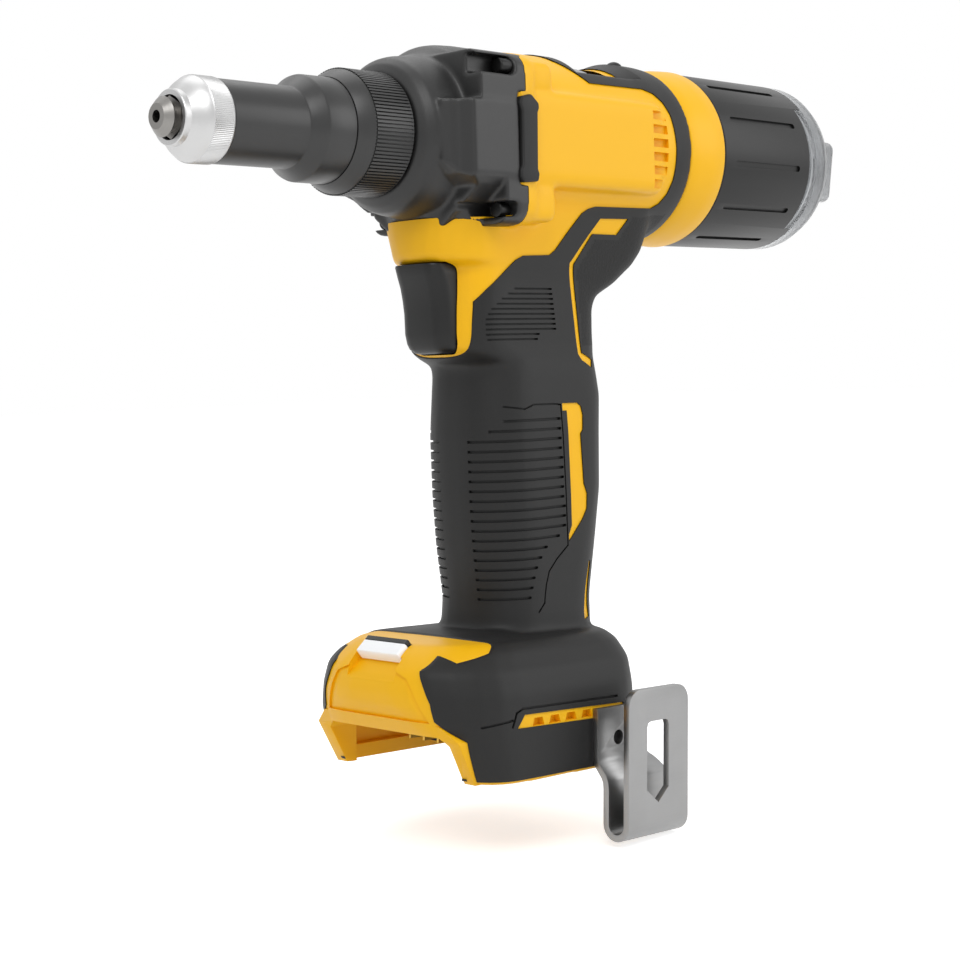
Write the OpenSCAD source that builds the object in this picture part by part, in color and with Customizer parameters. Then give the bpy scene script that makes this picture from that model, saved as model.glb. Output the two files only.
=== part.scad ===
// Battery rivet tool: a barrel with a steel nosepiece at the front and a mandrel cup at the rear,
// on a pistol grip with a trigger and a foot that takes a slide-on battery.
// X runs along the barrel to the rear, the nosepiece's front face is at X = 0, and Z is up.

/* [Nose] */
// Bore of the nosepiece, for the rivet's mandrel
nose_bore_d = 3.3; // [2.6:0.1:3.8]
// Radius of the nosepiece's flat front face
tip_face_r = 3.4; // [3:0.1:4]
// Radius of the nosepiece's cone at its rear
tip_r = 5.3; // [4.6:0.1:5.4]
// Length of the nosepiece's cone
tip_len = 1.9; // [1.2:0.1:3]
// Gap between the cone and the nose cap
tip_gap = 1.9; // [1:0.1:3]
// Length of the nose cap's boss
cap_boss_len = 1.8; // [1.4:0.1:3]
// Length of the nose cap's cone
cap_cone_len = 5.2; // [4:0.1:8]
// Length of the nose cap's knurled rim
cap_rim_len = 6.4; // [6:0.1:9]
// Radius of the nose cap's boss
cap_boss_r = 7.5; // [7:0.1:8.5]
// Radius of the nose cap's rim
cap_r = 11.6; // [11.4:0.1:13]
// Outer radius of the nose tube
tube_r = 11.25; // [11:0.05:11.6]
// Length of the nose tube's thin part
tube_len = 25.5; // [24:0.5:32]
// Radius of the band behind the nose tube's shoulder
band_r = 14.7; // [14.4:0.1:14.9]
// Length of the shoulder and its band
band_len = 14.3; // [12:0.1:16]
// Radius of the lock ring
ring_r = 17.8; // [17:0.1:19]
// Length of the lock ring
ring_len = 18.4; // [18:0.1:22]

/* [Barrel] */
// Length of the gearcase behind the lock ring
case_len = 29.5; // [29.5:0.5:34]
// How far the gearcase's flat sides stand out from the barrel
case_side = 2; // [1:0.5:4]
// Radius of the barrel of the housing
body_r = 28; // [27.5:0.25:29]
// Length of the barrel of the housing
body_len = 81.7; // [81:0.5:90]
// How far the rear ring stands out from the barrel
rear_ring_lip = 1; // [0.5:0.25:2]
// Length of the rear ring
rear_ring_len = 16.2; // [15:0.1:18]
// Thickness of the barrel's wall
barrel_wall = 2; // [1.8:0.1:2.2]

/* [Mandrel cup] */
// How far the mandrel cup's surface lies below the rear ring's
cup_step = 0.5; // [0:0.25:2]
// Length of the cup's black body
cup_len = 51.5; // [45:0.5:60]
// Thickness of the cup's wall
cup_wall = 2; // [1.6:0.1:2.6]
// Length of the clear end beyond the body
clear_len = 10; // [8:0.5:14]
// Length of the grip bar on the clear end
bar_len = 42; // [30:1:44]
// Height of the grip bar
bar_h = 21; // [14:1:24]
// Depth of the grip bar
bar_depth = 11; // [6:0.5:14]
// Turn of the locked cup about the barrel, in degrees
cup_turn = 7; // [0:1:15]

/* [Handle] */
// Wall thickness of the handle and the foot
wall = 3; // [2.6:0.1:3.4]
// Thickness of the rubber overmould
overmould = 1.6; // [1.2:0.1:1.8]
// Tilt of the foot against the barrel, in degrees
foot_tilt = 2.55; // [0:0.05:4]
// Travel of the trigger
trigger_travel = 6; // [4:0.5:7]
// Half width of the trigger
trigger_hw = 8.5; // [7.5:0.25:9]

/* [Drive] */
// Stroke of the pulling head
stroke = 25; // [20:0.5:25]
// Radius of the ball screw
screw_r = 6; // [5.5:0.1:6.2]
// Radius of the mandrel tube
mandrel_r = 2.5; // [2.3:0.1:2.6]
// Gear module for each millimetre of the barrel's bore radius
gear_share = 0.02692308; // [0.0265:0.0001:0.027]

/* [Belt hook] */
// Width of the hook's steel strip
hook_w = 27.5; // [24:0.5:30]
// Thickness of the hook's steel strip
hook_t = 2.1; // [1.5:0.1:2.5]
// Gap between the hook's two legs
hook_gap = 9.9; // [8:0.1:14]

/* [Hidden] */
$fn = 64;

// Clearances: sliding pairs, pairs that only pass, and seats that touch
run_gap = 0.05;
free_gap = 0.3;
eps = 0.02;

// Stations along the barrel
cap_x = tip_len + tip_gap;
cap_cone_x = cap_x + cap_boss_len;
cap_rim_x = cap_cone_x + cap_cone_len;
tube_x = cap_rim_x + cap_rim_len;
shoulder_x = tube_x + tube_len;
ring_x = shoulder_x + band_len;
ring_end_x = ring_x + ring_len;
case_x = ring_end_x + 0.4;
body_x = case_x + case_len;
body_end_x = body_x + body_len;
cup_x = body_end_x + rear_ring_len + 0.4;
cup_end_x = cup_x + cup_len;
clear_end_x = cup_end_x + clear_len;
barrel_bore_r = body_r - barrel_wall;
rear_ring_r = body_r + rear_ring_lip;
cup_r = rear_ring_r - cup_step;
case_hw = body_r + case_side;
gear_m = barrel_bore_r * gear_share;

module rod_x(x0, x1, r) {
    translate([x0, 0, 0]) rotate([0, 90, 0]) cylinder(h = x1 - x0, r = r);
}

module cone_x(x0, x1, r0, r1) {
    translate([x0, 0, 0]) rotate([0, 90, 0]) cylinder(h = x1 - x0, r1 = r0, r2 = r1);
}

module tube_x(x0, x1, r_out, r_in) {
    difference() {
        rod_x(x0, x1, r_out);
        rod_x(x0 - 1, x1 + 1, r_in);
    }
}

// Turns a profile of [x, radius] points about the barrel's axis
module turned(points) {
    rotate([0, 90, 0]) rotate_extrude() polygon([for (p = points) [p[1], p[0]]]);
}

// Extrudes a profile of [y, z] points along X
module along_x(x0, x1) {
    translate([x0, 0, 0]) rotate([90, 0, 90]) linear_extrude(height = x1 - x0) children();
}

// Extrudes a side outline of [x, z] points across the tool
module across(half) {
    rotate([90, 0, 0]) linear_extrude(height = 2 * half, center = true) children();
}

module rounded_rect(w, h, r) {
    union() {
        square([w - 2 * r, h], center = true);
        square([w, h - 2 * r], center = true);
        for (sx = [-1, 1], sy = [-1, 1]) {
            translate([sx * (w / 2 - r), sy * (h / 2 - r)]) circle(r = r);
        }
    }
}

// Nose: the nosepiece screws into the nose cap, and the cap onto the nose tube
nose_bore_r = nose_bore_d / 2;
nose_seat_x = cap_cone_x + 1.4;
nose_shank_r = 4.5;
nose_rear_r = 3.2;
spigot_r = tube_r - 0.9;
spigot_x = tube_x - 5.1;
pull_r = 8.7;
tube_bore_r = pull_r + free_gap;
jaw_case_x = tube_x + 2.3;
nose_rear_x = jaw_case_x + 3;
jaw_x = nose_rear_x + free_gap;
sleeve_r = tube_bore_r + 1.2;
sleeve_x = shoulder_x + 1.5;
case_spigot_r = 12.9;
case_spigot_x = ring_x + 3.3;
skirt_r = band_r + 0.3;
skirt_end_x = ring_x + 11;

module nosepiece() {
    hex_r = 5.7;
    hex_x = nose_seat_x - 2.6;
    color("silver") difference() {
        union() {
            cone_x(0, tip_len, tip_face_r, tip_r);
            rod_x(tip_len - eps, hex_x + eps, tip_r - 1.4);
            translate([hex_x, 0, 0]) rotate([0, 90, 0]) cylinder(h = nose_seat_x - hex_x, r = hex_r, $fn = 6);
            rod_x(nose_seat_x - eps, spigot_x, nose_shank_r);
            rod_x(spigot_x - eps, nose_rear_x - 1.2, nose_rear_r);
            cone_x(nose_rear_x - 1.2 - eps, nose_rear_x, nose_rear_r, nose_bore_r + 0.5);
        }
        rod_x(-1, nose_rear_x + 1, nose_bore_r);
    }
}

module nose_cap() {
    recess_r = 5.9;
    flat_y = cap_boss_r - 0.8;
    color("gainsboro") difference() {
        turned([
            [cap_x, recess_r], [cap_x, cap_boss_r - 0.3], [cap_x + 0.3, cap_boss_r], [cap_cone_x, cap_boss_r + 0.1],
            [cap_rim_x, cap_r - 1], [cap_rim_x + 0.9, cap_r], [tube_x - 0.4, cap_r], [tube_x, cap_r - 0.3],
            [tube_x, spigot_r + run_gap], [spigot_x - run_gap, spigot_r + run_gap],
            [spigot_x - run_gap, nose_shank_r + run_gap], [nose_seat_x, nose_shank_r + run_gap], [nose_seat_x, recess_r]
        ]);
        for (side = [-1, 1]) {
            translate([cap_x - 1, side * (flat_y + 5) - 5, -10]) cube([cap_boss_len + 1, 10, 20]);
        }
    }
}

module nose_tube() {
    color("dimgray") turned([
        [spigot_x, tube_bore_r], [spigot_x, spigot_r], [tube_x, spigot_r], [tube_x, tube_r], [shoulder_x, tube_r],
        [shoulder_x + 1.2, tube_r + 0.9], [shoulder_x + 3.2, band_r - 0.9], [shoulder_x + 4.6, band_r - 0.2],
        [shoulder_x + 6, band_r], [ring_x, band_r], [ring_x, skirt_r], [skirt_end_x, skirt_r],
        [skirt_end_x, case_spigot_r + free_gap], [case_spigot_x - free_gap, case_spigot_r + free_gap],
        [case_spigot_x - free_gap, sleeve_r + free_gap], [sleeve_x - free_gap, sleeve_r + free_gap],
        [sleeve_x - free_gap, tube_bore_r]
    ]);
}

retainer_x = skirt_end_x + 3.6;
retainer_t = 0.8;

module lock_ring() {
    bore_r = skirt_r + run_gap;
    lip_x = retainer_x + retainer_t + 0.1;
    color("dimgray") turned([
        [ring_x + 0.2, bore_r], [ring_x + 0.2, bore_r + 0.5], [ring_x + 3.4, ring_r - 0.3], [ring_x + 3.9, ring_r],
        [ring_end_x - 0.5, ring_r - 0.3], [ring_end_x, ring_r - 0.8], [ring_end_x, case_spigot_r + run_gap],
        [lip_x, case_spigot_r + run_gap], [lip_x, bore_r]
    ]);
}

module retaining_ring() {
    color("silver") difference() {
        tube_x(retainer_x, retainer_x + retainer_t, case_spigot_r + 1.4, case_spigot_r - 0.5 + run_gap);
        translate([retainer_x - 1, -1.5, -20]) cube([retainer_t + 2, 3, 20]);
    }
}

// Jaws: three sectors of one cone ride in the jaw case, pushed forward by the pusher and its spring
jaw_angle = 10;
jaw_slot = 1.6;
jaw_len = 11.2;
jaw_gap = 0.35;
case_front_r = 3.6;
case_bore_r = 6.3;
case_rear_x = jaw_case_x + 25.5;
pusher_x = jaw_x + jaw_len + free_gap;
pusher_bore_r = nose_bore_r + 0.25;
spring_seat_x = case_rear_x - 2;
function case_cone_r(x) = case_front_r + (x - jaw_case_x) * tan(jaw_angle);
case_cone_end_x = jaw_case_x + (case_bore_r - case_front_r) / tan(jaw_angle);

module jaw_case() {
    color("silver") turned([
        [jaw_case_x, case_front_r], [jaw_case_x, pull_r - 0.8], [jaw_case_x + 0.8, pull_r], [case_rear_x, pull_r],
        [case_rear_x, case_bore_r], [case_cone_end_x, case_bore_r]
    ]);
}

module jaw(turn) {
    apex = jaw_slot / 2 / sin(60);
    reach = 20;
    color("lightsteelblue") rotate([turn, 0, 0]) intersection() {
        difference() {
            cone_x(jaw_x, jaw_x + jaw_len, case_cone_r(jaw_x) - jaw_gap, case_cone_r(jaw_x + jaw_len) - jaw_gap);
            rod_x(jaw_x - 1, jaw_x + jaw_len + 1, pusher_bore_r);
        }
        along_x(jaw_x - 1, jaw_x + jaw_len + 1) {
            polygon([
                [0, apex], [reach * sin(60), apex + reach * cos(60)], [0, 2 * reach],
                [-reach * sin(60), apex + reach * cos(60)]
            ]);
        }
    }
}

module jaw_pusher() {
    tail_r = 3.4;
    color("darkgray") turned([
        [pusher_x, pusher_bore_r], [pusher_x, 3.4], [pusher_x + 0.6, case_bore_r - 2 * free_gap - 0.05],
        [pusher_x + 2, case_bore_r - free_gap], [pusher_x + 2, tail_r], [spring_seat_x - 1.5, tail_r],
        [spring_seat_x - 1.5, pusher_bore_r]
    ]);
}

// A helical spring along X: one closed tube swept round the helix
module coil_x(x0, x1, coil_r, wire_r, turns, steps = 8, sides = 6) {
    rings = turns * steps;
    run = x1 - x0 - 2 * wire_r;
    points = [
        for (i = [0:rings], j = [0:sides - 1])
            let (a = 360 * i / steps, b = 360 * j / sides, r = coil_r + wire_r * cos(b))
            [x0 + wire_r + run * i / rings + wire_r * sin(b), r * cos(a), r * sin(a)]
    ];
    skin = [
        for (i = [0:rings - 1], j = [0:sides - 1])
            let (a = i * sides + j, b = i * sides + (j + 1) % sides, c = a + sides, d = b + sides)
            each [[a, c, d], [a, d, b]]
    ];
    first = [for (j = [1:sides - 2]) [0, j, j + 1]];
    last = [for (j = [1:sides - 2]) [rings * sides, rings * sides + j + 1, rings * sides + j]];
    polyhedron(points = points, faces = concat(skin, first, last));
}

module jaw_spring() {
    color("silver") coil_x(pusher_x + 2.1, spring_seat_x - 0.1, 4.7, 0.5, 4);
}

// Pull: jaw case, pulling head, ball screw and mandrel tube slide to the rear as one
head_end_x = case_rear_x + 7.8;
socket_x = head_end_x - 4.3;
roller_r = 1.5;
roller_x = case_rear_x + 3.6;
thrust_x = case_x + 2.9;
thrust_t = 4.2;
nut_x = thrust_x + thrust_t + 0.2;
nut_flange_t = 2.8;
nut_r = 12;
nut_flange_r = 15.7;
nut_end_x = nut_x + 17.8;
nut_seat_r = 17;
mandrel_end_x = cup_x + 8.5;

module pulling_head() {
    bore_r = mandrel_r + 0.4;
    color("silver") difference() {
        turned([
            [spring_seat_x, bore_r], [spring_seat_x, case_bore_r - run_gap], [case_rear_x, case_bore_r - run_gap],
            [case_rear_x, pull_r], [head_end_x - 0.6, pull_r], [head_end_x, pull_r - 0.6],
            [head_end_x, screw_r + run_gap], [socket_x, screw_r + run_gap], [socket_x, bore_r]
        ]);
        translate([roller_x, 0, 0]) rotate([90, 0, 0]) cylinder(h = 4 * pull_r, r = roller_r + 0.02, center = true);
    }
}

module anti_turn_rollers() {
    color("silver") for (side = [-1, 1]) {
        translate([roller_x, side * (screw_r + 0.3), 0]) rotate([-90 * side, 0, 0])
            cylinder(h = sleeve_r - 0.1 - screw_r - 0.3, r = roller_r);
    }
}

module guide_sleeve() {
    slot_x = roller_x - roller_r - 0.5;
    slot_end_x = roller_x + stroke + roller_r + 0.5;
    color("darkgray") difference() {
        tube_x(sleeve_x, thrust_x - 0.2, sleeve_r, tube_bore_r);
        translate([slot_x, -2 * sleeve_r, -roller_r - 0.1])
            cube([slot_end_x - slot_x, 4 * sleeve_r, 2 * roller_r + 0.2]);
    }
}

module ball_screw() {
    color("silver") tube_x(socket_x + 0.1, nut_end_x + 0.5, screw_r, mandrel_r + run_gap);
}

module mandrel_tube() {
    color("silver") tube_x(socket_x + 0.2, mandrel_end_x, mandrel_r, mandrel_r - 0.5);
}

// Gearcase: a turned dome that runs out into a squarish flange with four screw channels
screw_y = case_hw - 6.3;
screw_shank_r = 1.7;
screw_head_r = 2.7;
screw_seat_x = body_x - 3;
case_top_z = body_r - 0.6;
case_low_z = 1.8 - body_r;
screw_z_top = case_top_z - 10.1;
screw_z_low = case_low_z + 4.7;

module case_section(grow = 0) {
    translate([0, (case_top_z + case_low_z) / 2]) rounded_rect(2 * (case_hw + grow), case_top_z - case_low_z, 11);
}

module at_case_screws() {
    for (side = [-1, 1], z = [screw_z_top, screw_z_low]) {
        translate([0, side * screw_y, z]) children();
    }
}

module gearcase() {
    dome_r = ring_r + 0.4;
    color("dimgray") difference() {
        union() {
            rod_x(case_spigot_x, case_x + 1, case_spigot_r);
            intersection() {
                turned([
                    [case_x, 0], [case_x, dome_r], [case_x + 1.2, dome_r + 2.4], [case_x + 3, dome_r + 4.4],
                    [case_x + 5.4, dome_r + 5.6], [case_x + 8.2, dome_r + 6.1], [case_x + 10.2, dome_r + 7.2],
                    [case_x + 12, dome_r + 9.6], [case_x + 14, dome_r + 14], [case_x + 18, dome_r + 22],
                    [body_x, dome_r + 22], [body_x, 0]
                ]);
                along_x(case_x, body_x) case_section();
            }
        }
        rod_x(case_spigot_x - 1, thrust_x, sleeve_r + run_gap);
        rod_x(thrust_x - 0.2, nut_x + nut_flange_t + 4, nut_flange_r + 0.4);
        rod_x(nut_x + nut_flange_t + 3.9, body_x + 1, nut_seat_r + run_gap);
        tube_x(retainer_x - run_gap, retainer_x + retainer_t + run_gap, case_spigot_r + 1, case_spigot_r - 0.5);
        at_case_screws() {
            rod_x(case_x + 7, screw_seat_x, screw_head_r + 0.9);
            rod_x(screw_seat_x - 1, body_x + 1, screw_shank_r + run_gap);
        }
    }
}

module gearcase_screws() {
    color("#222222") at_case_screws() {
        difference() {
            rod_x(screw_seat_x - 2.8, screw_seat_x, screw_head_r);
            translate([screw_seat_x - 3, 0, 0]) rotate([0, 90, 0]) cylinder(h = 1.6, r = 1.3, $fn = 6);
        }
        rod_x(screw_seat_x - eps, body_x + 12, screw_shank_r);
    }
}

module thrust_bearing() {
    color("silver") turned([
        [thrust_x + 0.05, screw_r + 1], [thrust_x + 0.05, nut_flange_r], [thrust_x + 1.3, nut_flange_r],
        [thrust_x + 1.3, nut_flange_r - 0.8], [thrust_x + thrust_t - 1.3, nut_flange_r - 0.8],
        [thrust_x + thrust_t - 1.3, nut_flange_r], [thrust_x + thrust_t, nut_flange_r],
        [thrust_x + thrust_t, screw_r + 1]
    ]);
}

module ball_nut() {
    color("gray") difference() {
        union() {
            rod_x(nut_x, nut_x + nut_flange_t, nut_flange_r);
            rod_x(nut_x, nut_end_x, nut_r);
        }
        rod_x(nut_x - 1, nut_end_x + 1, screw_r + run_gap);
    }
}

module nut_bearing() {
    color("silver") tube_x(nut_end_x - 7, nut_end_x - 1, nut_seat_r, nut_r + run_gap);
}

// Gears: module gear_m, with planets_n planets on each carrier
sun_teeth = 18;
planet_teeth = 24;
ring_teeth = sun_teeth + 2 * planet_teeth;
planets_n = 3;
planet_r = gear_m * (sun_teeth + planet_teeth) / 2;
pin_r = 2;
carrier_r = 18.6;
output_gear_x = nut_end_x + 29.4;
output_gear_w = 7;
input_gear_x = output_gear_x + output_gear_w + 5.5;
input_gear_w = 6.6;
plate_x = input_gear_x + input_gear_w + 1.7;
shaft_bore_r = mandrel_r + 0.4;
hub_bore_r = screw_r + 0.6;

// Tooth outline: straight flanks close to an involute's, thinned for backlash
function tooth_points(teeth, i, tip, root, half_tip, half_pitch, half_root) = [
    let (a = 360 * i / teeth)
    for (p = [[root, -half_root], [gear_m * teeth / 2, -half_pitch], [tip, -half_tip],
              [tip, half_tip], [gear_m * teeth / 2, half_pitch], [root, half_root]])
        [p[0] * cos(a + p[1]), p[0] * sin(a + p[1])]
];

function arc_deg(length, r) = length / r * 180 / PI;

// Outer teeth; shift turns the gear by that many degrees
module gear_outline(teeth, shift = 0) {
    pitch_r = gear_m * teeth / 2;
    tip = pitch_r + 0.85 * gear_m;
    root = pitch_r - 1.2 * gear_m;
    rotate(shift) polygon([
        for (i = [0:teeth - 1])
            each tooth_points(teeth, i, tip, root, arc_deg(0.28 * gear_m, tip), arc_deg(0.70 * gear_m, pitch_r),
                arc_deg(0.98 * gear_m, root))
    ]);
}

// Space between the ring gear's teeth, as an outline to cut away
module ring_space(shift = 0) {
    pitch_r = gear_m * ring_teeth / 2;
    tip = pitch_r + 1.2 * gear_m;
    root = pitch_r - 0.8 * gear_m;
    rotate(shift) polygon([
        for (i = [0:ring_teeth - 1])
            each tooth_points(ring_teeth, i, tip, root, arc_deg(0.42 * gear_m, tip), arc_deg(0.88 * gear_m, pitch_r),
                arc_deg(1.22 * gear_m, root))
    ]);
}

// Turn of planet k about its own pin, so that it meshes with a sun whose tooth 0 points along +Z
function planet_angle(k) = 360 * k / planets_n;

module planet(x, w, k) {
    a = planet_angle(k);
    mesh = 90 + a + 180 + 180 / planet_teeth;
    color("goldenrod") translate([x, -planet_r * sin(a), planet_r * cos(a)]) difference() {
        along_x(0, w) gear_outline(planet_teeth, mesh);
        rod_x(-1, w + 1, pin_r + run_gap);
    }
}

module sun(x0, x1) {
    along_x(x0, x1) gear_outline(sun_teeth, 90);
}

module carrier_pins(x0, x1) {
    for (k = [0:planets_n - 1]) {
        a = planet_angle(k);
        translate([0, -planet_r * sin(a), planet_r * cos(a)]) rod_x(x0, x1, pin_r);
    }
}

module output_carrier() {
    disc_x = output_gear_x - 3.4;
    color("gray") difference() {
        union() {
            rod_x(nut_end_x, nut_end_x + 3, nut_r);
            rod_x(nut_end_x + 3 - eps, disc_x + eps, hub_bore_r + 3);
            rod_x(disc_x, output_gear_x - 0.4, carrier_r);
            carrier_pins(output_gear_x - 0.4 - eps, output_gear_x + output_gear_w + 0.7);
        }
        rod_x(nut_end_x - 1, output_gear_x, hub_bore_r);
    }
}

module input_carrier() {
    disc_x = input_gear_x - 3;
    color("gray") difference() {
        union() {
            sun(output_gear_x + 0.2, disc_x + eps);
            rod_x(disc_x, input_gear_x - 0.4, carrier_r);
            carrier_pins(input_gear_x - 0.4 - eps, input_gear_x + input_gear_w + 0.6);
        }
        rod_x(output_gear_x, input_gear_x, shaft_bore_r);
    }
}

module ring_gear() {
    x0 = output_gear_x - 0.6;
    color("dimgray") difference() {
        rod_x(x0, plate_x, barrel_bore_r - run_gap);
        along_x(x0 - 1, plate_x + 1) ring_space(90 + 180 / ring_teeth);
    }
}

// Motor: hollow shaft with the input sun, rotor, stator and fan, between the gears and the cup
shaft_r = 4;
front_bearing_r = 9.5;
plate_end_x = plate_x + 4.2;
fan_x = plate_end_x + 5;
fan_w = 9.6;
fan_r = 22;
core_x = fan_x + fan_w + 6.4;
core_len = 18;
core_end_x = core_x + core_len;
rotor_r = 13;
stator_bore_r = rotor_r + 0.6;
stator_teeth = 6;
winding_t = 2.4;
winding_over = 3;
bulkhead_x = core_end_x + winding_over + 3.2;
bulkhead_t = 3.4;
rear_bearing_r = 8;
cup_bore_r = cup_r - cup_wall;

module motor_plate() {
    color("silver") difference() {
        rod_x(plate_x, plate_end_x, barrel_bore_r - run_gap);
        rod_x(plate_x + 0.2, plate_end_x + 1, front_bearing_r);
        rod_x(plate_x - 1, plate_end_x, shaft_r + 1.5);
    }
}

module front_bearing() {
    color("gainsboro") tube_x(plate_x + 0.2, plate_end_x, front_bearing_r, shaft_r + run_gap);
}

module motor_shaft() {
    color("silver") difference() {
        union() {
            sun(input_gear_x, plate_x - 0.7);
            rod_x(input_gear_x, cup_x + 1, shaft_r);
        }
        rod_x(input_gear_x - 1, cup_x + 2, shaft_bore_r);
    }
}

module fan() {
    blades = 9;
    hub_r = 7;
    color("#333333") difference() {
        union() {
            rod_x(fan_x, fan_x + fan_w, hub_r);
            rod_x(fan_x + fan_w - 1.6, fan_x + fan_w, fan_r);
            for (i = [0:blades - 1]) {
                rotate([360 * i / blades, 0, 0]) translate([fan_x, -0.8, hub_r - 0.5])
                    cube([fan_w - 1, 1.6, fan_r - hub_r - 0.2]);
            }
        }
        rod_x(fan_x - 1, fan_x + fan_w + 1, shaft_r);
    }
}

module rotor_core() {
    magnets = 4;
    color("dimgray") difference() {
        rod_x(core_x, core_end_x, rotor_r);
        rod_x(core_x - 1, core_end_x + 1, shaft_r);
        for (i = [0:magnets - 1]) {
            rotate([360 * i / magnets, 0, 0]) translate([core_x - 1, -6, rotor_r - 4.2])
                cube([core_len + 2, 12, 0.6]);
        }
    }
}

module stator_core() {
    tooth_w = 6;
    shoe_half = 24;
    color("darkgray") difference() {
        rod_x(core_x, core_end_x, barrel_bore_r - run_gap);
        rod_x(core_x - 1, core_end_x + 1, stator_bore_r);
        for (i = [0:stator_teeth - 1]) {
            rotate([360 * (i + 0.5) / stator_teeth, 0, 0]) along_x(core_x - 1, core_end_x + 1) {
                slot_outline(tooth_w, shoe_half);
            }
        }
    }
}

// One slot between two stator teeth, centred on +Z, with a narrow mouth to the bore
module slot_outline(tooth_w, shoe_half) {
    half = 180 / stator_teeth;
    outer = barrel_bore_r - 4;
    inner = stator_bore_r + 2.4;
    edge = tooth_w / 2;
    mouth = stator_bore_r * sin(half - shoe_half);
    side_in = asin(edge / inner);
    side_out = asin(edge / outer);
    inner_half = half - side_in;
    outer_half = half - side_out;
    polygon(concat(
        [[-mouth, stator_bore_r - 1], [mouth, stator_bore_r - 1], [mouth, inner * cos(inner_half) + 1]],
        [[inner * sin(inner_half), inner * cos(inner_half)]],
        [for (i = [0:6]) let (a = outer_half * (1 - i / 3)) [outer * sin(a), outer * cos(a)]],
        [[-inner * sin(inner_half), inner * cos(inner_half)], [-mouth, inner * cos(inner_half) + 1]]
    ));
}

module windings() {
    tooth_w = 6;
    inner_r = stator_bore_r + 3;
    outer_r = barrel_bore_r - 4.9;
    gap = 0.3;
    color("peru") for (i = [0:stator_teeth - 1]) {
        rotate([360 * i / stator_teeth, 0, 0]) difference() {
            translate([core_x - winding_over, -tooth_w / 2 - winding_t, inner_r])
                cube([core_len + 2 * winding_over, tooth_w + 2 * winding_t, outer_r - inner_r]);
            translate([core_x - gap, -tooth_w / 2 - gap, inner_r - 1])
                cube([core_len + 2 * gap, tooth_w + 2 * gap, outer_r - inner_r + 2]);
        }
    }
}

module sensor_board() {
    color("darkgreen") tube_x(bulkhead_x - 2.2, bulkhead_x - 0.6, barrel_bore_r - 0.5, rotor_r - 4);
    color("darkgreen") for (a = [30, 150, 270]) {
        rotate([a, 0, 0]) translate([bulkhead_x - 0.6 - eps, 0, barrel_bore_r - 5]) rod_x(0, 0.6 + eps, 1.6);
    }
}

module rear_bearing() {
    color("gainsboro") tube_x(bulkhead_x + 0.2, bulkhead_x + bulkhead_t, rear_bearing_r, shaft_r + run_gap);
}

// Bulkhead behind the motor, with the collar that the cup turns on
module rear_bulkhead() {
    collar_r = cup_bore_r - 1.1;
    color("#2b2b2b") difference() {
        union() {
            rod_x(bulkhead_x, bulkhead_x + bulkhead_t, barrel_bore_r - run_gap);
            rod_x(bulkhead_x + bulkhead_t - eps, cup_x + 5.6, collar_r);
        }
        rod_x(bulkhead_x + 0.2, cup_x + 6, rear_bearing_r);
        rod_x(bulkhead_x - 1, bulkhead_x + 2, shaft_r + 1.5);
        rod_x(cup_x + 0.6, cup_x + 6, collar_r - 2.4);
        tube_x(cup_x + 1.9, cup_x + 4.3, collar_r + 1, collar_r - 0.9);
    }
}

module cup_seal() {
    collar_r = cup_bore_r - 1.1;
    color("#202020") tube_x(cup_x + 2.1, cup_x + 4.1, cup_bore_r - run_gap, collar_r - 0.85);
}

// Mandrel cup: a black body with a clear end, turned off a bayonet for emptying
step_r_angle = 45.6;
groove_x = cup_x + 6;
groove_len = 36;

module cup_body() {
    grooves = 12;
    step_z = cup_r * sin(step_r_angle);
    step_x = 4;
    color("#262626") rotate([cup_turn, 0, 0]) difference() {
        turned([
            [cup_x, cup_bore_r], [cup_x, cup_r - 0.6], [cup_x + 0.6, cup_r], [cup_end_x, cup_r], [cup_end_x, cup_bore_r]
        ]);
        translate([cup_end_x - step_x, -2 * cup_r, -step_z]) cube([step_x + 1, 4 * cup_r, 2 * step_z]);
        for (i = [0:grooves - 1]) {
            rotate([360 * i / grooves, 0, 0]) translate([groove_x, -0.8, cup_r - 0.7]) cube([groove_len, 1.6, 2]);
        }
    }
}

module cup_clear_end() {
    step_x = 4;
    step_z = cup_r * sin(step_r_angle) - 0.2;
    skin_r = cup_bore_r - run_gap;
    rim_x = cup_end_x + 0.5 * clear_len;
    color("gainsboro", 0.5) rotate([cup_turn, 0, 0]) union() {
        turned([
            [cup_end_x - 9, skin_r - 2], [cup_end_x - 9, skin_r], [cup_end_x + eps, skin_r], [cup_end_x + eps, cup_r - 0.1],
            [rim_x, cup_r - 0.2], [rim_x, cup_r - 1.4], [rim_x + 1.6, cup_r - 2], [clear_end_x - 1.6, cup_r - 4.6],
            [clear_end_x, cup_r - 8], [clear_end_x, 0], [clear_end_x - 2.2, 0], [clear_end_x - 2.2, cup_r - 8.6],
            [rim_x + 0.6, skin_r - 2.2], [cup_end_x, skin_r - 2]
        ]);
        intersection() {
            tube_x(cup_end_x - step_x + eps, cup_end_x + 1, cup_r - 0.1, skin_r - 0.5);
            translate([cup_end_x - step_x, -2 * cup_r, -step_z]) cube([step_x + 1, 4 * cup_r, 2 * step_z]);
        }
        along_x(clear_end_x - 1, clear_end_x + bar_depth) rounded_rect(bar_len, bar_h, 2.5);
    }
}

module rear_ring() {
    color("gold") turned([
        [body_end_x + 0.3, barrel_bore_r], [body_end_x + 0.3, body_r + 0.2], [body_end_x + 0.9, body_r + 0.4],
        [cup_x - 1, rear_ring_r], [cup_x - 0.4, rear_ring_r - 0.3], [cup_x - 0.4, barrel_bore_r]
    ]);
}

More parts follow.
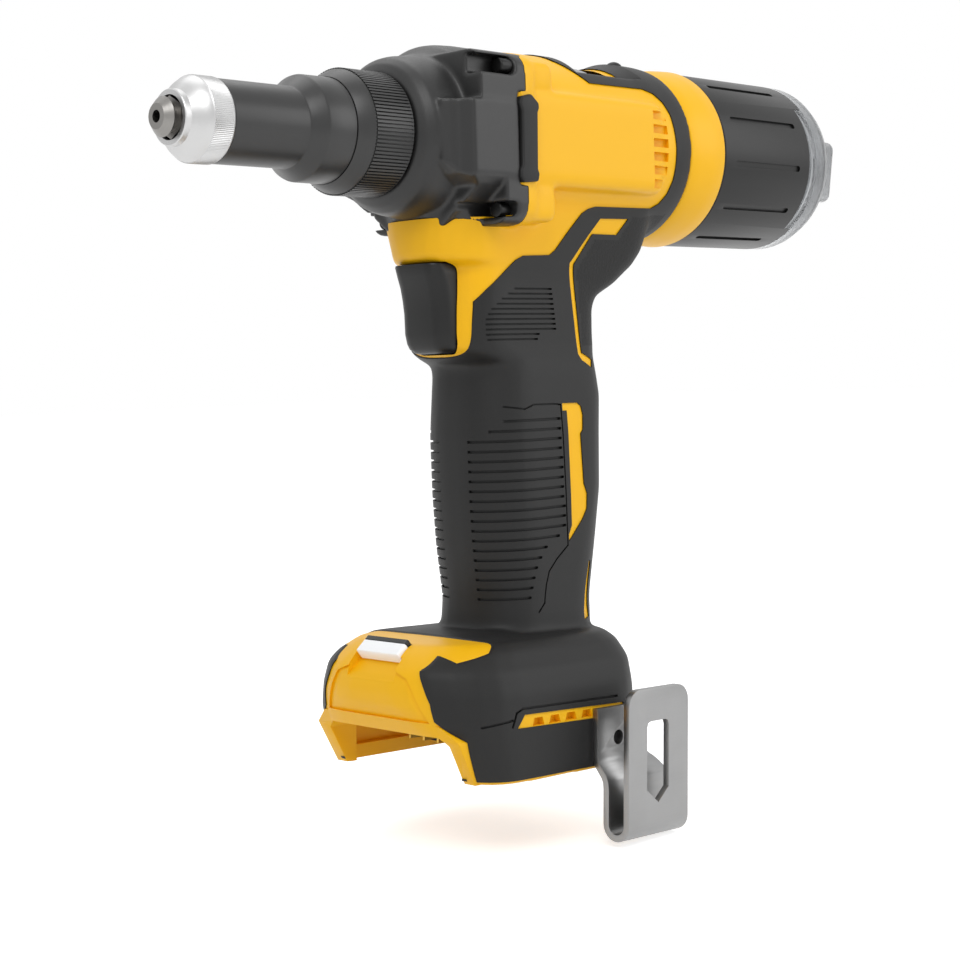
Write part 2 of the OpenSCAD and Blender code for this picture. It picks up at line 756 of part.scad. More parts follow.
// Handle and foot: lofts through rounded sections
// Each station: height, front x, rear x, half width, front corner radius, rear corner radius
handle = [
    [-150, 103, 151, 19, 13, 16],
    [-141, 106.2, 151.3, 17.5, 12, 14],
    [-133, 105.8, 151.8, 17.6, 12, 14],
    [-121, 104.3, 153.8, 18.2, 13, 14],
    [-106, 103.6, 156, 18.5, 13, 14],
    [-88, 103.5, 156.6, 18.5, 13, 14],
    [-77, 104.2, 156.6, 18, 13, 14],
    [-70, 104.8, 155.6, 17.6, 12, 14],
    [-66.4, 96, 155, 17.2, 8, 14],
    [-62.4, 93.4, 154.6, 17, 8, 14],
    [-50, 94.5, 154.6, 17, 6, 14],
    [-46, 95, 156.6, 17, 6, 13],
    [-42, 95.3, 165.5, 17, 6, 13],
    [-38, 95.4, 172.6, 17.2, 6, 13],
    [-37.3, 88.6, 173.4, 17.6, 8, 13],
    [-33, 88.2, 178, 18.4, 9, 13],
    [-27, 88, 180.2, 20.5, 10, 13],
    [-20, 88.4, 180.6, 22.5, 11, 12]
];
// The foot's stations stand in the tilted foot's own axes
foot_base_w = -180.7;
deck_w = -166.8;
foot = [
    [foot_base_w, 87, 157.6, 36.4, 8, 18],
    [-172.5, 82, 158, 36.4, 11, 18],
    [-164.4, 77.7, 158.2, 36.4, 14, 18],
    [-156.5, 74.8, 158.2, 35.2, 18, 18],
    [-150.5, 72.6, 158, 32, 18, 18],
    [-148.4, 71.9, 157.6, 30.5, 17, 18],
    [-142.2, 80, 156, 26, 14, 17],
    [-140.4, 96, 155, 21, 10, 15],
    [-136, 112, 156, 16, 10, 12]
];
corner_steps = 4;
overmould_seat_z = -30.2;

function inset_station(s, t) = [s[0], s[1] + t, s[2] - t, s[3] - t, max(s[4] - t, 1), max(s[5] - t, 1)];

function station_ring(s) = [
    for (c = [[s[2] - s[5], s[3] - s[5], s[5], 0], [s[1] + s[4], s[3] - s[4], s[4], 90],
              [s[1] + s[4], s[4] - s[3], s[4], 180], [s[2] - s[5], s[5] - s[3], s[5], 270]])
        for (k = [0:corner_steps])
            let (a = c[3] + 90 * k / corner_steps) [c[0] + c[2] * cos(a), c[1] + c[2] * sin(a), s[0]]
];

// Loft through a list of stations that rise along Z
module loft(stations) {
    n = 4 * (corner_steps + 1);
    m = len(stations);
    skin = [
        for (i = [0:m - 2], j = [0:n - 1])
            let (a = i * n + j, b = i * n + (j + 1) % n, c = a + n, d = b + n)
            each [[a, c, b], [b, c, d]]
    ];
    low = [for (j = [1:n - 2]) [0, j, j + 1]];
    top = [for (j = [1:n - 2]) [(m - 1) * n, (m - 1) * n + j + 1, (m - 1) * n + j]];
    polyhedron(points = [for (s = stations) each station_ring(s)], faces = concat(skin, low, top));
}

module in_foot() {
    rotate([0, foot_tilt, 0]) children();
}

module handle_form(t = 0) {
    loft([for (s = handle) inset_station(s, t)]);
}

module foot_form(t = 0) {
    in_foot() loft([for (s = foot) inset_station(s, t)]);
}

boss_r = 7.2;
boss_end_x = body_x + 15;

// Flange and screw bosses at the front of the housing
module housing_flange() {
    along_x(body_x, body_x + 7) case_section(-0.8);
    intersection() {
        at_case_screws() rod_x(body_x, boss_end_x, boss_r);
        along_x(body_x, boss_end_x + 1) case_section(-0.8);
    }
}

module outer_form() {
    rod_x(body_x, body_end_x, body_r);
    housing_flange();
    handle_form();
    foot_form();
}

// Hard core under the rubber: the same forms, sunk by the overmould's thickness
module core_form() {
    rod_x(body_x, body_end_x, body_r - barrel_mould);
    handle_form(overmould);
    foot_form(overmould);
}

// Side outline of the rubber overmould, as [x, z]
barrel_mould = 0.9;
window_x = 161;
window_z = -2;
window_r = 17.5;
window_h = 18.5;

module overmould_outline() {
    polygon(concat(
        [[88, -66.6], [95.6, -66.6], [94.6, -60], [95.4, -50], [98, -46.4], [113.5, -35.2], [130, -34.6],
         [138, -22]],
        [for (i = [0:10]) let (a = -80 + 16 * i)
            [window_x + window_r * cos(a), window_z + window_h * sin(a)]],
        [[136, 17.6], [122, 21.5], [118, 40], [body_end_x + 1, 40], [body_end_x + 1, -60], [170, -60], [170, -200],
         [86, -200], [79.5, -184], [71, -166], [70, -151], [77, -146.5], [86, -150], [97, -147], [100, -141],
         [88, -138]]
    ));
}

module overmould_form() {
    across(60) overmould_outline();
}

// Hollow inside of the shells: motor bore, handle and upper foot
module hollow() {
    rod_x(body_x - 1, body_end_x + 1, barrel_bore_r);
    intersection() {
        handle_form(wall);
        translate([80, -40, -138]) cube([120, 80, 138 + overmould_seat_z]);
    }
    in_foot() {
        loft([[deck_w + wall, 82.5, 154, 32.6, 9, 12], [-156, 79.5, 154, 31.4, 12, 12], [-151, 79, 154, 27, 14, 12]]);
        translate([116, -10, -152]) cube([28, 20, 20]);
    }
    translate([130, 0, -40]) cylinder(h = 20, r = 4);
}

// Battery receptacle: open below and in front, with a narrower mouth
receptacle_hw = 31.4;
receptacle_end_u = 148;
rail_t = 3;

module receptacle() {
    depth = deck_w - foot_base_w + 5;
    in_foot() {
        translate([91, -receptacle_hw, foot_base_w - 5]) cube([receptacle_end_u - 91, 2 * receptacle_hw, depth]);
        translate([83, -27, foot_base_w - 5]) cube([10, 54, depth]);
        along_x(60, 85) polygon([
            [-22.7, deck_w], [22.7, deck_w], [28.7, foot_base_w - 1], [28.7, foot_base_w - 5],
            [-28.7, foot_base_w - 5], [-28.7, foot_base_w - 1]
        ]);
    }
}

module rails(side) {
    in_foot() translate([93, side > 0 ? 28.4 : -33, foot_base_w]) cube([receptacle_end_u - 92, 4.6, rail_t]);
}

// Six screws hold the shells together, from the right side
shell_screws = [[99, -31], [167, -33], [113, -73], [146, -70.5], [113.5, -133.5], [142, -133.5]];
shell_screw_r = 1.5;
shell_screw_head_r = 2.8;
shell_boss_r = 3.6;
head_seat_y = 12;
boss_half = 13.2;

module at_shell_screws() {
    for (p = shell_screws) {
        translate([p[0], 0, p[1]]) rotate([-90, 0, 0]) children();
    }
}

trigger_top_z = -37.7;
trigger_low_z = -62;
trigger_rear_x = 104;

module trigger_opening() {
    gap = 0.4;
    translate([80, -trigger_hw - gap, trigger_low_z - gap])
        cube([22.5, 2 * (trigger_hw + gap), trigger_top_z - trigger_low_z + 2 * gap]);
}

// Louvres over the fan, on both sides
module vents() {
    louvres = 6;
    pitch = 5.7;
    for (side = [-1, 1], i = [0:louvres - 1]) {
        z = 11.6 - pitch * i;
        translate([fan_x + 4, side * (body_r - 4) - 6, z - 1.6]) cube([fan_w - 1, 12, 3.2]);
    }
}

// Yellow slot strip on both sides of the foot, which takes the belt hook's tab
strip_u = 98;
strip_end_u = 141;
strip_w = -162.2;
strip_h = 4;

module hook_slots(depth) {
    in_foot() for (side = [-1, 1]) {
        translate([strip_u, side * foot_side_y - depth, strip_w - strip_h])
            cube([strip_end_u - strip_u, 2 * depth, strip_h]);
    }
}

hook_u = 143.2;
hook_hole_u = hook_u - 4.4;
hook_hole_w = -172.9;
hook_hole_r = 1.65;
insert_r = 3;
foot_side_y = 36.4;

module at_hook_hole() {
    in_foot() translate([hook_hole_u, -foot_side_y, hook_hole_w]) rotate([-90, 0, 0]) children();
}

module shell_bosses() {
    at_shell_screws() translate([0, 0, -boss_half]) cylinder(h = 2 * boss_half, r = shell_boss_r);
}

module half_space(side) {
    translate([60, side > 0 ? 0 : -60, -210]) cube([160, 60, 260]);
}

module shell_half(side) {
    difference() {
        intersection() {
            union() {
                difference() {
                    union() {
                        difference() {
                            outer_form();
                            overmould_form();
                        }
                        core_form();
                    }
                    hollow();
                    receptacle();
                }
                shell_bosses();
                rails(side);
            }
            half_space(side);
        }
        translate([60, -50, case_low_z]) cube([body_x - 60, 100, 60]);
        trigger_opening();
        vents();
        light_pocket();
        hook_slots(1.7);
        at_case_screws() rod_x(body_x - 1, body_x + 12.5, screw_shank_r + run_gap);
        at_shell_screws() {
            translate([0, 0, -9]) cylinder(h = 12 + head_seat_y, r = shell_screw_r + run_gap);
            translate([0, 0, head_seat_y]) cylinder(h = 30, r = shell_screw_head_r + 0.2);
        }
        at_hook_hole() translate([0, 0, -1]) cylinder(h = 5.8, r = insert_r);
    }
}

module left_housing() {
    color("gold") shell_half(-1);
}

module right_housing() {
    color("gold") shell_half(1);
}

module overmould_half(side) {
    color("#2e2e2e") difference() {
        intersection() {
            outer_form();
            overmould_form();
            half_space(side);
        }
        core_form();
        rod_x(body_x - 1, body_end_x + 1, body_r - barrel_mould);
        housing_flange();
        receptacle();
        trigger_opening();
        light_pocket();
        hook_slots(3.2);
        at_shell_screws() translate([0, 0, head_seat_y]) cylinder(h = 30, r = shell_screw_head_r + 0.2);
        at_hook_hole() translate([0, 0, -1]) cylinder(h = 8, r = insert_r + 1);
    }
}

module left_overmould() {
    overmould_half(-1);
}

module right_overmould() {
    overmould_half(1);
}

module housing_screws() {
    color("silver") at_shell_screws() {
        translate([0, 0, -8.5]) cylinder(h = head_seat_y + 8.5 + eps, r = shell_screw_r);
        difference() {
            translate([0, 0, head_seat_y]) cylinder(h = 2.2, r = shell_screw_head_r);
            translate([0, 0, head_seat_y + 1]) cylinder(h = 3, r = 1.3, $fn = 6);
        }
    }
}

module side_bumpers() {
    low_z = -15;
    top_z = 12;
    color("#2a2a2a") for (side = [-1, 1]) {
        translate([body_x + 4.8, side * (case_hw - 0.8 + 1.1), (low_z + top_z) / 2]) rotate([90, 0, 0])
            linear_extrude(height = 2.2, center = true) rounded_rect(8.6, top_z - low_z, 1.6);
    }
}

// Trigger and its switch
module trigger() {
    corner = 4;
    low = trigger_low_z;
    top = trigger_top_z;
    side = trigger_hw;
    color("#1f1f1f") union() {
        intersection() {
            across(side) polygon([
                [86.8, top], [87.9, top - 2.6], [88.9, top - 5.6], [89.6, top - 9.2], [90, top - 13.2],
                [90, low + 5], [90.7, low + 2.3], [92.4, low + 0.6], [95, low], [trigger_rear_x, low],
                [trigger_rear_x, top]
            ]);
            translate([86, 0, low - 1]) linear_extrude(height = top - low + 2) union() {
                translate([corner, -side]) square([30, 2 * side]);
                translate([0, corner - side]) square([10, 2 * (side - corner)]);
                for (s = [-1, 1]) {
                    translate([corner + 0.8, s * (side - corner)]) circle(r = corner);
                }
            }
        }
        translate([0, 0, plunger_z]) rod_x(trigger_rear_x - 1, switch_x + 2, plunger_r);
    }
}

plunger_r = 2;
plunger_z = -50;
switch_x = 113;

module trigger_spring() {
    color("silver") translate([0, 0, plunger_z]) coil_x(trigger_rear_x + 0.1, switch_x - 0.1, 3.6, 0.45, 4);
}

module trigger_switch() {
    color("#303030") difference() {
        union() {
            translate([switch_x, -8, -60]) cube([24, 16, 21]);
            translate([switch_x + 6, -5, -66]) cube([12, 10, 7]);
        }
        translate([0, 0, plunger_z]) rod_x(switch_x - 1, switch_x + 2.4 + trigger_travel, plunger_r + 0.3);
    }
}

module control_module() {
    color("#3a3a3a") union() {
        translate([119, -10, -127]) cube([26, 20, 50]);
        for (z = [-120, -110, -100, -90]) {
            translate([116.4, -8, z]) cube([3, 16, 4]);
        }
        for (side = [-1, 1], z = [-122, -86]) {
            translate([126, side * 12.4 - 2.6, z]) cube([8, 5.2, 3]);
        }
    }
}

// Work light in the foot's front edge, looking forward and down
light_u = 76.2;
light_w = -145.2;
light_l = 17;
light_h = 2.8;
light_deep = 4;
light_board_t = 1.3;

module at_light() {
    in_foot() translate([light_u, 0, light_w]) rotate([0, -37, 0]) children();
}

module light_pocket() {
    at_light() {
        along_x(-20, light_deep) rounded_rect(light_l, light_h, 1.2);
        translate([light_deep - eps, -light_l / 2 - 1, -3]) cube([light_board_t + eps, light_l + 2, 6]);
    }
}

module light_lens() {
    color("white") at_light() along_x(-0.6, light_deep) rounded_rect(light_l - 2 * run_gap, light_h - 2 * run_gap, 1.1);
}

module light_board() {
    color("darkgreen") at_light() translate([light_deep, -light_l / 2 - 0.9, -2.9])
        cube([light_board_t - 0.1, light_l + 1.8, 5.8]);
}

module terminal_block() {
    color("#2b2b2b") in_foot() difference() {
        translate([110, -14, -176.4]) cube([28, 28, 176.4 + deck_w]);
        for (v = [-9, -3, 3, 9]) {
            translate([106, v - 0.4 - run_gap, -174.5]) cube([24, 0.8 + 2 * run_gap, 5.5]);
        }
    }
}

module terminal_blades() {
    color("gold") in_foot() for (v = [-9, -3, 3, 9]) {
        translate([98, v - 0.4, -174]) cube([31, 0.8, 4.5]);
    }
}

module hook_insert() {
    color("goldenrod") at_hook_hole() difference() {
        cylinder(h = 4.8, r = insert_r - run_gap);
        translate([0, 0, -1]) cylinder(h = 7, r = hook_hole_r);
    }
}

// Belt hook: a bent strip, drawn as its centre line and given its thickness by normals
hook_top_w = -163.6;
hook_bend_w = -201;
foot_low_w = -180.7;
function unit(v) = v / norm(v);
function strip_normal(p, i) =
    let (a = unit(p[min(i + 1, len(p) - 1)] - p[max(i - 1, 0)])) [-a[1], a[0]];
function strip_outline(p, t) = concat(
    [for (i = [0:len(p) - 1]) p[i] + strip_normal(p, i) * t / 2],
    [for (i = [len(p) - 1:-1:0]) p[i] - strip_normal(p, i) * t / 2]
);

module belt_hook() {
    leg_y = foot_side_y + 0.1 + hook_t / 2;
    mid_y = leg_y + 4.2;
    plate_y = leg_y + hook_t + hook_gap;
    bend_r = (plate_y - mid_y) / 2;
    plate_top_w = -157.2;
    steps = 8;
    path = concat(
        [[leg_y, hook_top_w], [leg_y, foot_low_w + 2.3], [leg_y + 0.5, foot_low_w + 0.7],
         [mid_y - 0.9, foot_low_w - 2.7], [mid_y - 0.2, foot_low_w - 4.3], [mid_y, foot_low_w - 6.3],
         [mid_y, hook_bend_w + bend_r]],
        [for (i = [1:steps]) let (a = 180 + 180 * i / steps)
            [mid_y + bend_r + bend_r * cos(a), hook_bend_w + bend_r + bend_r * sin(a)]],
        [[plate_y, plate_top_w]]
    );
    slot_hw = 5.95;
    slot_u = hook_u - 0.45;
    slot_top_w = plate_top_w - 9.8;
    slot_low_w = plate_top_w - 30.2;
    corner = 5;
    color("silver") in_foot() difference() {
        translate([hook_u - hook_w / 2, 0, 0]) mirror([0, 1, 0]) rotate([90, 0, 90])
            linear_extrude(height = hook_w) polygon(strip_outline(path, hook_t));
        translate([slot_u, 3 - plate_y, 0]) rotate([90, 0, 0]) linear_extrude(height = 6) union() {
            polygon([[-slot_hw, slot_top_w], [slot_hw, slot_top_w], [slot_hw, slot_low_w],
                     [0, slot_low_w - 4], [-slot_hw, slot_low_w]]);
            translate([slot_hw - 2, slot_top_w]) circle(r = 2);
            translate([2 - slot_hw, slot_top_w]) circle(r = 2);
            translate([2 - slot_hw, slot_top_w]) square([2 * slot_hw - 4, 2]);
        }
        for (s = [-1, 1]) {
            translate([hook_u + s * (hook_w / 2 - corner), 3 - plate_y, plate_top_w - corner]) rotate([90, 0, 0])
                linear_extrude(height = 6) difference() {
                    translate([s > 0 ? 0 : -corner - 1, 0]) square([corner + 1, corner + 1]);
                    circle(r = corner);
                }
        }
        translate([hook_hole_u, 0, hook_hole_w]) rotate([90, 0, 0]) cylinder(h = leg_y + 2, r = 2.2);
    }
}

nosepiece();
nose_cap();
nose_tube();
lock_ring();
retaining_ring();
jaw_case();
jaw(0);  // jaw_1
jaw(120);  // jaw_2
jaw(240);  // jaw_3
jaw_pusher();
jaw_spring();
pulling_head();
anti_turn_rollers();
guide_sleeve();
ball_screw();
mandrel_tube();
gearcase();
gearcase_screws();
thrust_bearing();
ball_nut();
nut_bearing();
output_carrier();
planet(output_gear_x, output_gear_w, 0);  // output_planet_1
planet(output_gear_x, output_gear_w, 1);  // output_planet_2
planet(output_gear_x, output_gear_w, 2);  // output_planet_3
input_carrier();
planet(input_gear_x, input_gear_w, 0);  // input_planet_1
planet(input_gear_x, input_gear_w, 1);  // input_planet_2
planet(input_gear_x, input_gear_w, 2);  // input_planet_3
ring_gear();
motor_plate();
front_bearing();
motor_shaft();
fan();
rotor_core();
stator_core();
windings();
sensor_board();
rear_bearing();
rear_bulkhead();
left_housing();
right_housing();
left_overmould();
right_overmould();
side_bumpers();
housing_screws();
rear_ring();
cup_body();
cup_clear_end();
cup_seal();
trigger();
trigger_spring();
trigger_switch();
control_module();
light_board();
light_lens();
terminal_block();
terminal_blades();
hook_insert();
belt_hook();
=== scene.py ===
# %% [markdown]
# # A battery rivet tool, piece by piece
# The tool is one barrel with a steel nose in front and a mandrel cup behind, on a rubber-covered grip
# with a battery foot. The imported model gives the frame: every piece below sits where its CAD node sits,
# so lengths are written in millimetres as on a drawing and turned to metres in one place.

import math

import bmesh
import bpy
from mathutils import Matrix, Vector


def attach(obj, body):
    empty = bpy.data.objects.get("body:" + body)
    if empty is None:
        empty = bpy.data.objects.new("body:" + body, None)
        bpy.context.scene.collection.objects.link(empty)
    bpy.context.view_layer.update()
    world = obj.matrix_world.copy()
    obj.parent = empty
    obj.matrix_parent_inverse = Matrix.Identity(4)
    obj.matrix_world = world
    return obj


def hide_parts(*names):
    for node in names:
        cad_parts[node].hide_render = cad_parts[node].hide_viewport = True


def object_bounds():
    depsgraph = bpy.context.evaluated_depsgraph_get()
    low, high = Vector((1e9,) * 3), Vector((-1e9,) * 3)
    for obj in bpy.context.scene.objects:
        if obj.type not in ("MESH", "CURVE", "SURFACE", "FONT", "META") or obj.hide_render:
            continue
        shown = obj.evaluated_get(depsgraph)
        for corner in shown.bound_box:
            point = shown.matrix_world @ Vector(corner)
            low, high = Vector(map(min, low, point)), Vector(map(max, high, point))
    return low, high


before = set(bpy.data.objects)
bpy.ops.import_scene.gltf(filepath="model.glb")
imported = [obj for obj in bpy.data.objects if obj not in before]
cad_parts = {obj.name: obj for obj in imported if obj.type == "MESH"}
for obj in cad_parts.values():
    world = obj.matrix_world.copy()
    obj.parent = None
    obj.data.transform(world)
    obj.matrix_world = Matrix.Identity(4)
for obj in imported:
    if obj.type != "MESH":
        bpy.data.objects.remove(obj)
cad_low, cad_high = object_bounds()
scene = bpy.context.scene
print("CAD box in mm:", [round(1000 * v, 1) for v in (*cad_low, *cad_high)])

# %% [markdown]
# ## Camera, floor and light
# The view is the photograph's: from the front left, almost level. The camera is written as its three
# axes, which is exact and needs no target object. A Track To constraint would do the same by aiming.

# %% Camera
eye = Vector((-0.289064, -0.399572, -0.066736))
to_right = Vector((0.70186872, -0.71161813, -0.03130407))
to_top = Vector((0.0656272, 0.02084251, 0.99762651))
to_back = Vector((-0.70927666, -0.70225724, 0.06133021))
camera = bpy.data.objects.new("camera", bpy.data.cameras.new("camera"))
scene.collection.objects.link(camera)
camera.matrix_world = Matrix((to_right, to_top, to_back)).transposed().to_4x4()
camera.matrix_world.translation = eye
camera.data.lens = 70
camera.data.sensor_width = 36
camera.data.clip_start = 0.01
scene.camera = camera
print("camera stands", round(eye.length, 3), "m from the nose")

# %% [markdown]
# Node materials are written often below, so two helpers come first. One turns an sRGB hex colour into
# the linear values that nodes want, and one adds a node with its settings and links.


# %% Helpers for colours and nodes
def linear(hex_colour):
    values = []
    for shift in (16, 8, 0):
        value = ((hex_colour >> shift) & 255) / 255
        values.append(value / 12.92 if value <= 0.04045 else ((value + 0.055) / 1.055) ** 2.4)
    return (*values, 1.0)


def add(tree, kind, inputs=None, links=None, **settings):
    node = tree.nodes.new(kind)
    for name, value in settings.items():
        setattr(node, name, value)
    for name, value in (inputs or {}).items():
        node.inputs[name].default_value = value
    for name, source in (links or {}).items():
        tree.links.new(source, node.inputs[name])
    return node


# %% [markdown]
# The floor and the sky are white in the picture, but they light the tool softly: the sky is dimmer for
# the rays that light it than for the rays that the camera sees. Light Path tells the two apart.

# %% Sky
world = bpy.data.worlds.new("sky")
scene.world = world
world.use_nodes = True
sky = world.node_tree
sky.nodes.clear()
path = add(sky, "ShaderNodeLightPath")
seen = add(sky, "ShaderNodeMath", operation="MAXIMUM",
           links={0: path.outputs["Is Camera Ray"], 1: path.outputs["Is Glossy Ray"]})
seen = add(sky, "ShaderNodeMath", operation="MAXIMUM",
           links={0: seen.outputs[0], 1: path.outputs["Is Transmission Ray"]})
dim = add(sky, "ShaderNodeBackground", {"Color": (1, 1, 1, 1), "Strength": 0.5})
white = add(sky, "ShaderNodeBackground", {"Color": (1, 1, 1, 1), "Strength": 1.0})
sky_mix = add(sky, "ShaderNodeMixShader", links={0: seen.outputs[0], 1: dim.outputs[0], 2: white.outputs[0]})
add(sky, "ShaderNodeOutputWorld", links={"Surface": sky_mix.outputs[0]})
scene.view_settings.view_transform = "Standard"


# %% Soft boxes
def soft_box(name, place, watts, size, aim=(0.13, 0, -0.07)):
    lamp = bpy.data.objects.new(name, bpy.data.lights.new(name, "AREA"))
    scene.collection.objects.link(lamp)
    lamp.data.energy = watts
    lamp.data.size = size
    lamp.location = place
    lamp.rotation_euler = (Vector(aim) - Vector(place)).to_track_quat("-Z", "Y").to_euler()
    return lamp


soft_box("key", (-0.55, -0.55, 0.75), 5.0, 0.6)
soft_box("side", (0.75, -0.85, 0.35), 3.4, 0.7)
soft_box("top", (0.25, 0.35, 0.95), 3.0, 0.8)
print("three soft boxes")

# %% Floor
floor_bm = bmesh.new()
bmesh.ops.create_grid(floor_bm, x_segments=2, y_segments=2, size=6)
bmesh.ops.translate(floor_bm, vec=(0, 0, cad_low.z - 0.0008), verts=floor_bm.verts)
floor_mesh = bpy.data.meshes.new("floor")
floor_bm.to_mesh(floor_mesh)
floor_bm.free()
floor = bpy.data.objects.new("floor", floor_mesh)
scene.collection.objects.link(floor)
paper = bpy.data.materials.new("matt_paper")
paper.use_nodes = True
tree = paper.node_tree
tree.nodes.clear()
matt = add(tree, "ShaderNodeBsdfDiffuse", {"Color": linear(0xF2F2F2)})
glow = add(tree, "ShaderNodeEmission", {"Color": (1, 1, 1, 1), "Strength": 0.62})
lift = add(tree, "ShaderNodeAddShader", links={0: matt.outputs[0], 1: glow.outputs[0]})
path = add(tree, "ShaderNodeLightPath")
seen = add(tree, "ShaderNodeMath", operation="MAXIMUM",
           links={0: path.outputs["Is Camera Ray"], 1: path.outputs["Is Glossy Ray"]})
both = add(tree, "ShaderNodeMixShader", links={0: seen.outputs[0], 1: matt.outputs[0], 2: lift.outputs[0]})
add(tree, "ShaderNodeOutputMaterial", links={"Surface": both.outputs[0]})
floor_mesh.materials.append(paper)
print("floor at", round(1000 * cad_low.z - 0.8, 1), "mm")

# %% [markdown]
# ## Materials
# The tool has few substances: moulded ABS, moulded rubber, steel in several finishes, a painted
# alloy case and clear polycarbonate. Each starts from typical values for its substance, and a fine
# grain in the bump and the roughness breaks up the highlights as a real surface does.


# %% Moulded plastic and rubber
moulded_shine = 0.3


def moulded(name, hex_colour, rough, grain_mm, depth_mm, mottle=0.06, coat=0.0):
    stuff = bpy.data.materials.new(name)
    stuff.use_nodes = True
    tree = stuff.node_tree
    shader = tree.nodes["Principled BSDF"]
    place = add(tree, "ShaderNodeTexCoord").outputs["Object"]
    grain = add(tree, "ShaderNodeTexNoise", {"Scale": 1000 / grain_mm, "Detail": 2.0}, {"Vector": place})
    cloud = add(tree, "ShaderNodeTexNoise", {"Scale": 60.0, "Detail": 3.0}, {"Vector": place})
    dark = tuple(c * (1 - mottle) for c in linear(hex_colour)[:3]) + (1.0,)
    tint = add(tree, "ShaderNodeMix", {6: dark, 7: linear(hex_colour)}, {0: cloud.outputs["Fac"]},
               data_type="RGBA")
    tree.links.new(tint.outputs[2], shader.inputs["Base Color"])
    spread = add(tree, "ShaderNodeMapRange", {"To Min": rough - 0.05, "To Max": rough + 0.05},
                 {"Value": grain.outputs["Fac"]})
    tree.links.new(spread.outputs[0], shader.inputs["Roughness"])
    bump = add(tree, "ShaderNodeBump", {"Strength": 1.0, "Distance": depth_mm / 1000},
               {"Height": grain.outputs["Fac"]})
    tree.links.new(bump.outputs[0], shader.inputs["Normal"])
    shader.inputs["IOR"].default_value = 1.5
    shader.inputs["Specular IOR Level"].default_value = moulded_shine
    shader.inputs["Coat Weight"].default_value = coat
    return stuff


# Glass-filled ABS, injection moulded: an even satin with a fine spark-eroded grain
yellow_abs = moulded("moulded_yellow_abs", 0xFABD0A, 0.42, 0.35, 0.012, 0.03)
# Thermoplastic rubber over the shell: softer highlights and a slightly coarser grain
black_rubber = moulded("moulded_black_rubber", 0x1B1B1B, 0.52, 0.3, 0.02, 0.08)
# The same rubber with a leather-like stipple where the web of the hand rests
stippled_rubber = moulded("stippled_black_rubber", 0x171717, 0.62, 0.75, 0.16, 0.1)
# Nylon, moulded: a little smoother than the rubber, so the trigger shows longer highlights
black_nylon = moulded("moulded_black_nylon", 0x161616, 0.4, 0.3, 0.01)
# ABS of the cup: the smoothest of the blacks, which draws one bright line along the round
black_cup = moulded("moulded_black_cup_abs", 0x151515, 0.36, 0.3, 0.008)
# Boards under a dark solder mask: glossy, with copper areas that show as soft mottling
circuit_board = moulded("black_solder_masked_board", 0x1A1F1C, 0.35, 1.2, 0.01, 0.2, 0.3)
print("moulded materials ready")


# %% [markdown]
# Metals differ by how the surface was made. Turned steel carries fine rings round the barrel's axis,
# strip steel is brushed along one direction, and a blasted or painted casting is only grainy. One
# noise texture does all three: stretching its coordinates with a Mapping node gives it a direction.


# %% Metals
def metal(name, hex_colour, rough, stretch, depth_mm, metallic=1.0, coat=0.0):
    stuff = bpy.data.materials.new(name)
    stuff.use_nodes = True
    tree = stuff.node_tree
    shader = tree.nodes["Principled BSDF"]
    place = add(tree, "ShaderNodeTexCoord").outputs["Object"]
    lined = add(tree, "ShaderNodeMapping", {"Scale": stretch}, {"Vector": place})
    marks = add(tree, "ShaderNodeTexNoise", {"Scale": 1.0, "Detail": 3.0}, {"Vector": lined.outputs[0]})
    cloud = add(tree, "ShaderNodeTexNoise", {"Scale": 90.0, "Detail": 2.0}, {"Vector": place})
    dark = tuple(c * 0.86 for c in linear(hex_colour)[:3]) + (1.0,)
    tint = add(tree, "ShaderNodeMix", {6: dark, 7: linear(hex_colour)}, {0: cloud.outputs["Fac"]},
               data_type="RGBA")
    tree.links.new(tint.outputs[2], shader.inputs["Base Color"])
    spread = add(tree, "ShaderNodeMapRange", {"To Min": rough - 0.07, "To Max": rough + 0.07},
                 {"Value": marks.outputs["Fac"]})
    tree.links.new(spread.outputs[0], shader.inputs["Roughness"])
    bump = add(tree, "ShaderNodeBump", {"Strength": 1.0, "Distance": depth_mm / 1000},
               {"Height": marks.outputs["Fac"]})
    tree.links.new(bump.outputs[0], shader.inputs["Normal"])
    shader.inputs["Metallic"].default_value = metallic
    shader.inputs["Coat Weight"].default_value = coat
    return stuff


# Marks per metre along x, y and z: rings round the barrel, an even grain, and lines down the strip
ring_marks = (2600, 90, 90)
even_grain = (1800, 1800, 1800)
length_marks = (60, 60, 2600)
core_sheets = (1600, 10, 10)
wound_wire = (90, 2200, 90)
# Turned steel: bright, with rings that spread each highlight across the barrel
turned_steel = metal("turned_steel", 0xB9B9B9, 0.3, ring_marks, 0.004)
# Nickel plate over a blasted cap: pale and even, without a direction
cap_steel = metal("nickel_plated_steel", 0xC2C2C2, 0.4, even_grain, 0.006)
# Hardened steel keeps a brown-grey cast from the oven
nose_steel = metal("hardened_nose_steel", 0x8A8885, 0.36, ring_marks, 0.004)
# Anodised or painted black parts are mostly dielectric: dark, with a grey sheen along the edges
tube_black = metal("satin_black_anodised_aluminium", 0x333333, 0.36, ring_marks, 0.003, 0.25)
case_paint = metal("black_painted_alloy", 0x232323, 0.42, even_grain, 0.006, 0.15)
# Black zinc is thin enough for the steel to shine through
screw_black = metal("black_zinc_screw_steel", 0x1C1C1C, 0.35, even_grain, 0.003, 0.6)
# Strip steel is brushed along its length, so a highlight stretches across it
hook_metal = metal("brushed_strip_steel", 0x979797, 0.38, length_marks, 0.004)
# Cut teeth are left as the cutter leaves them: grey and slightly dull
gear_metal = metal("cut_gear_steel", 0x9A9A9A, 0.32, even_grain, 0.003)
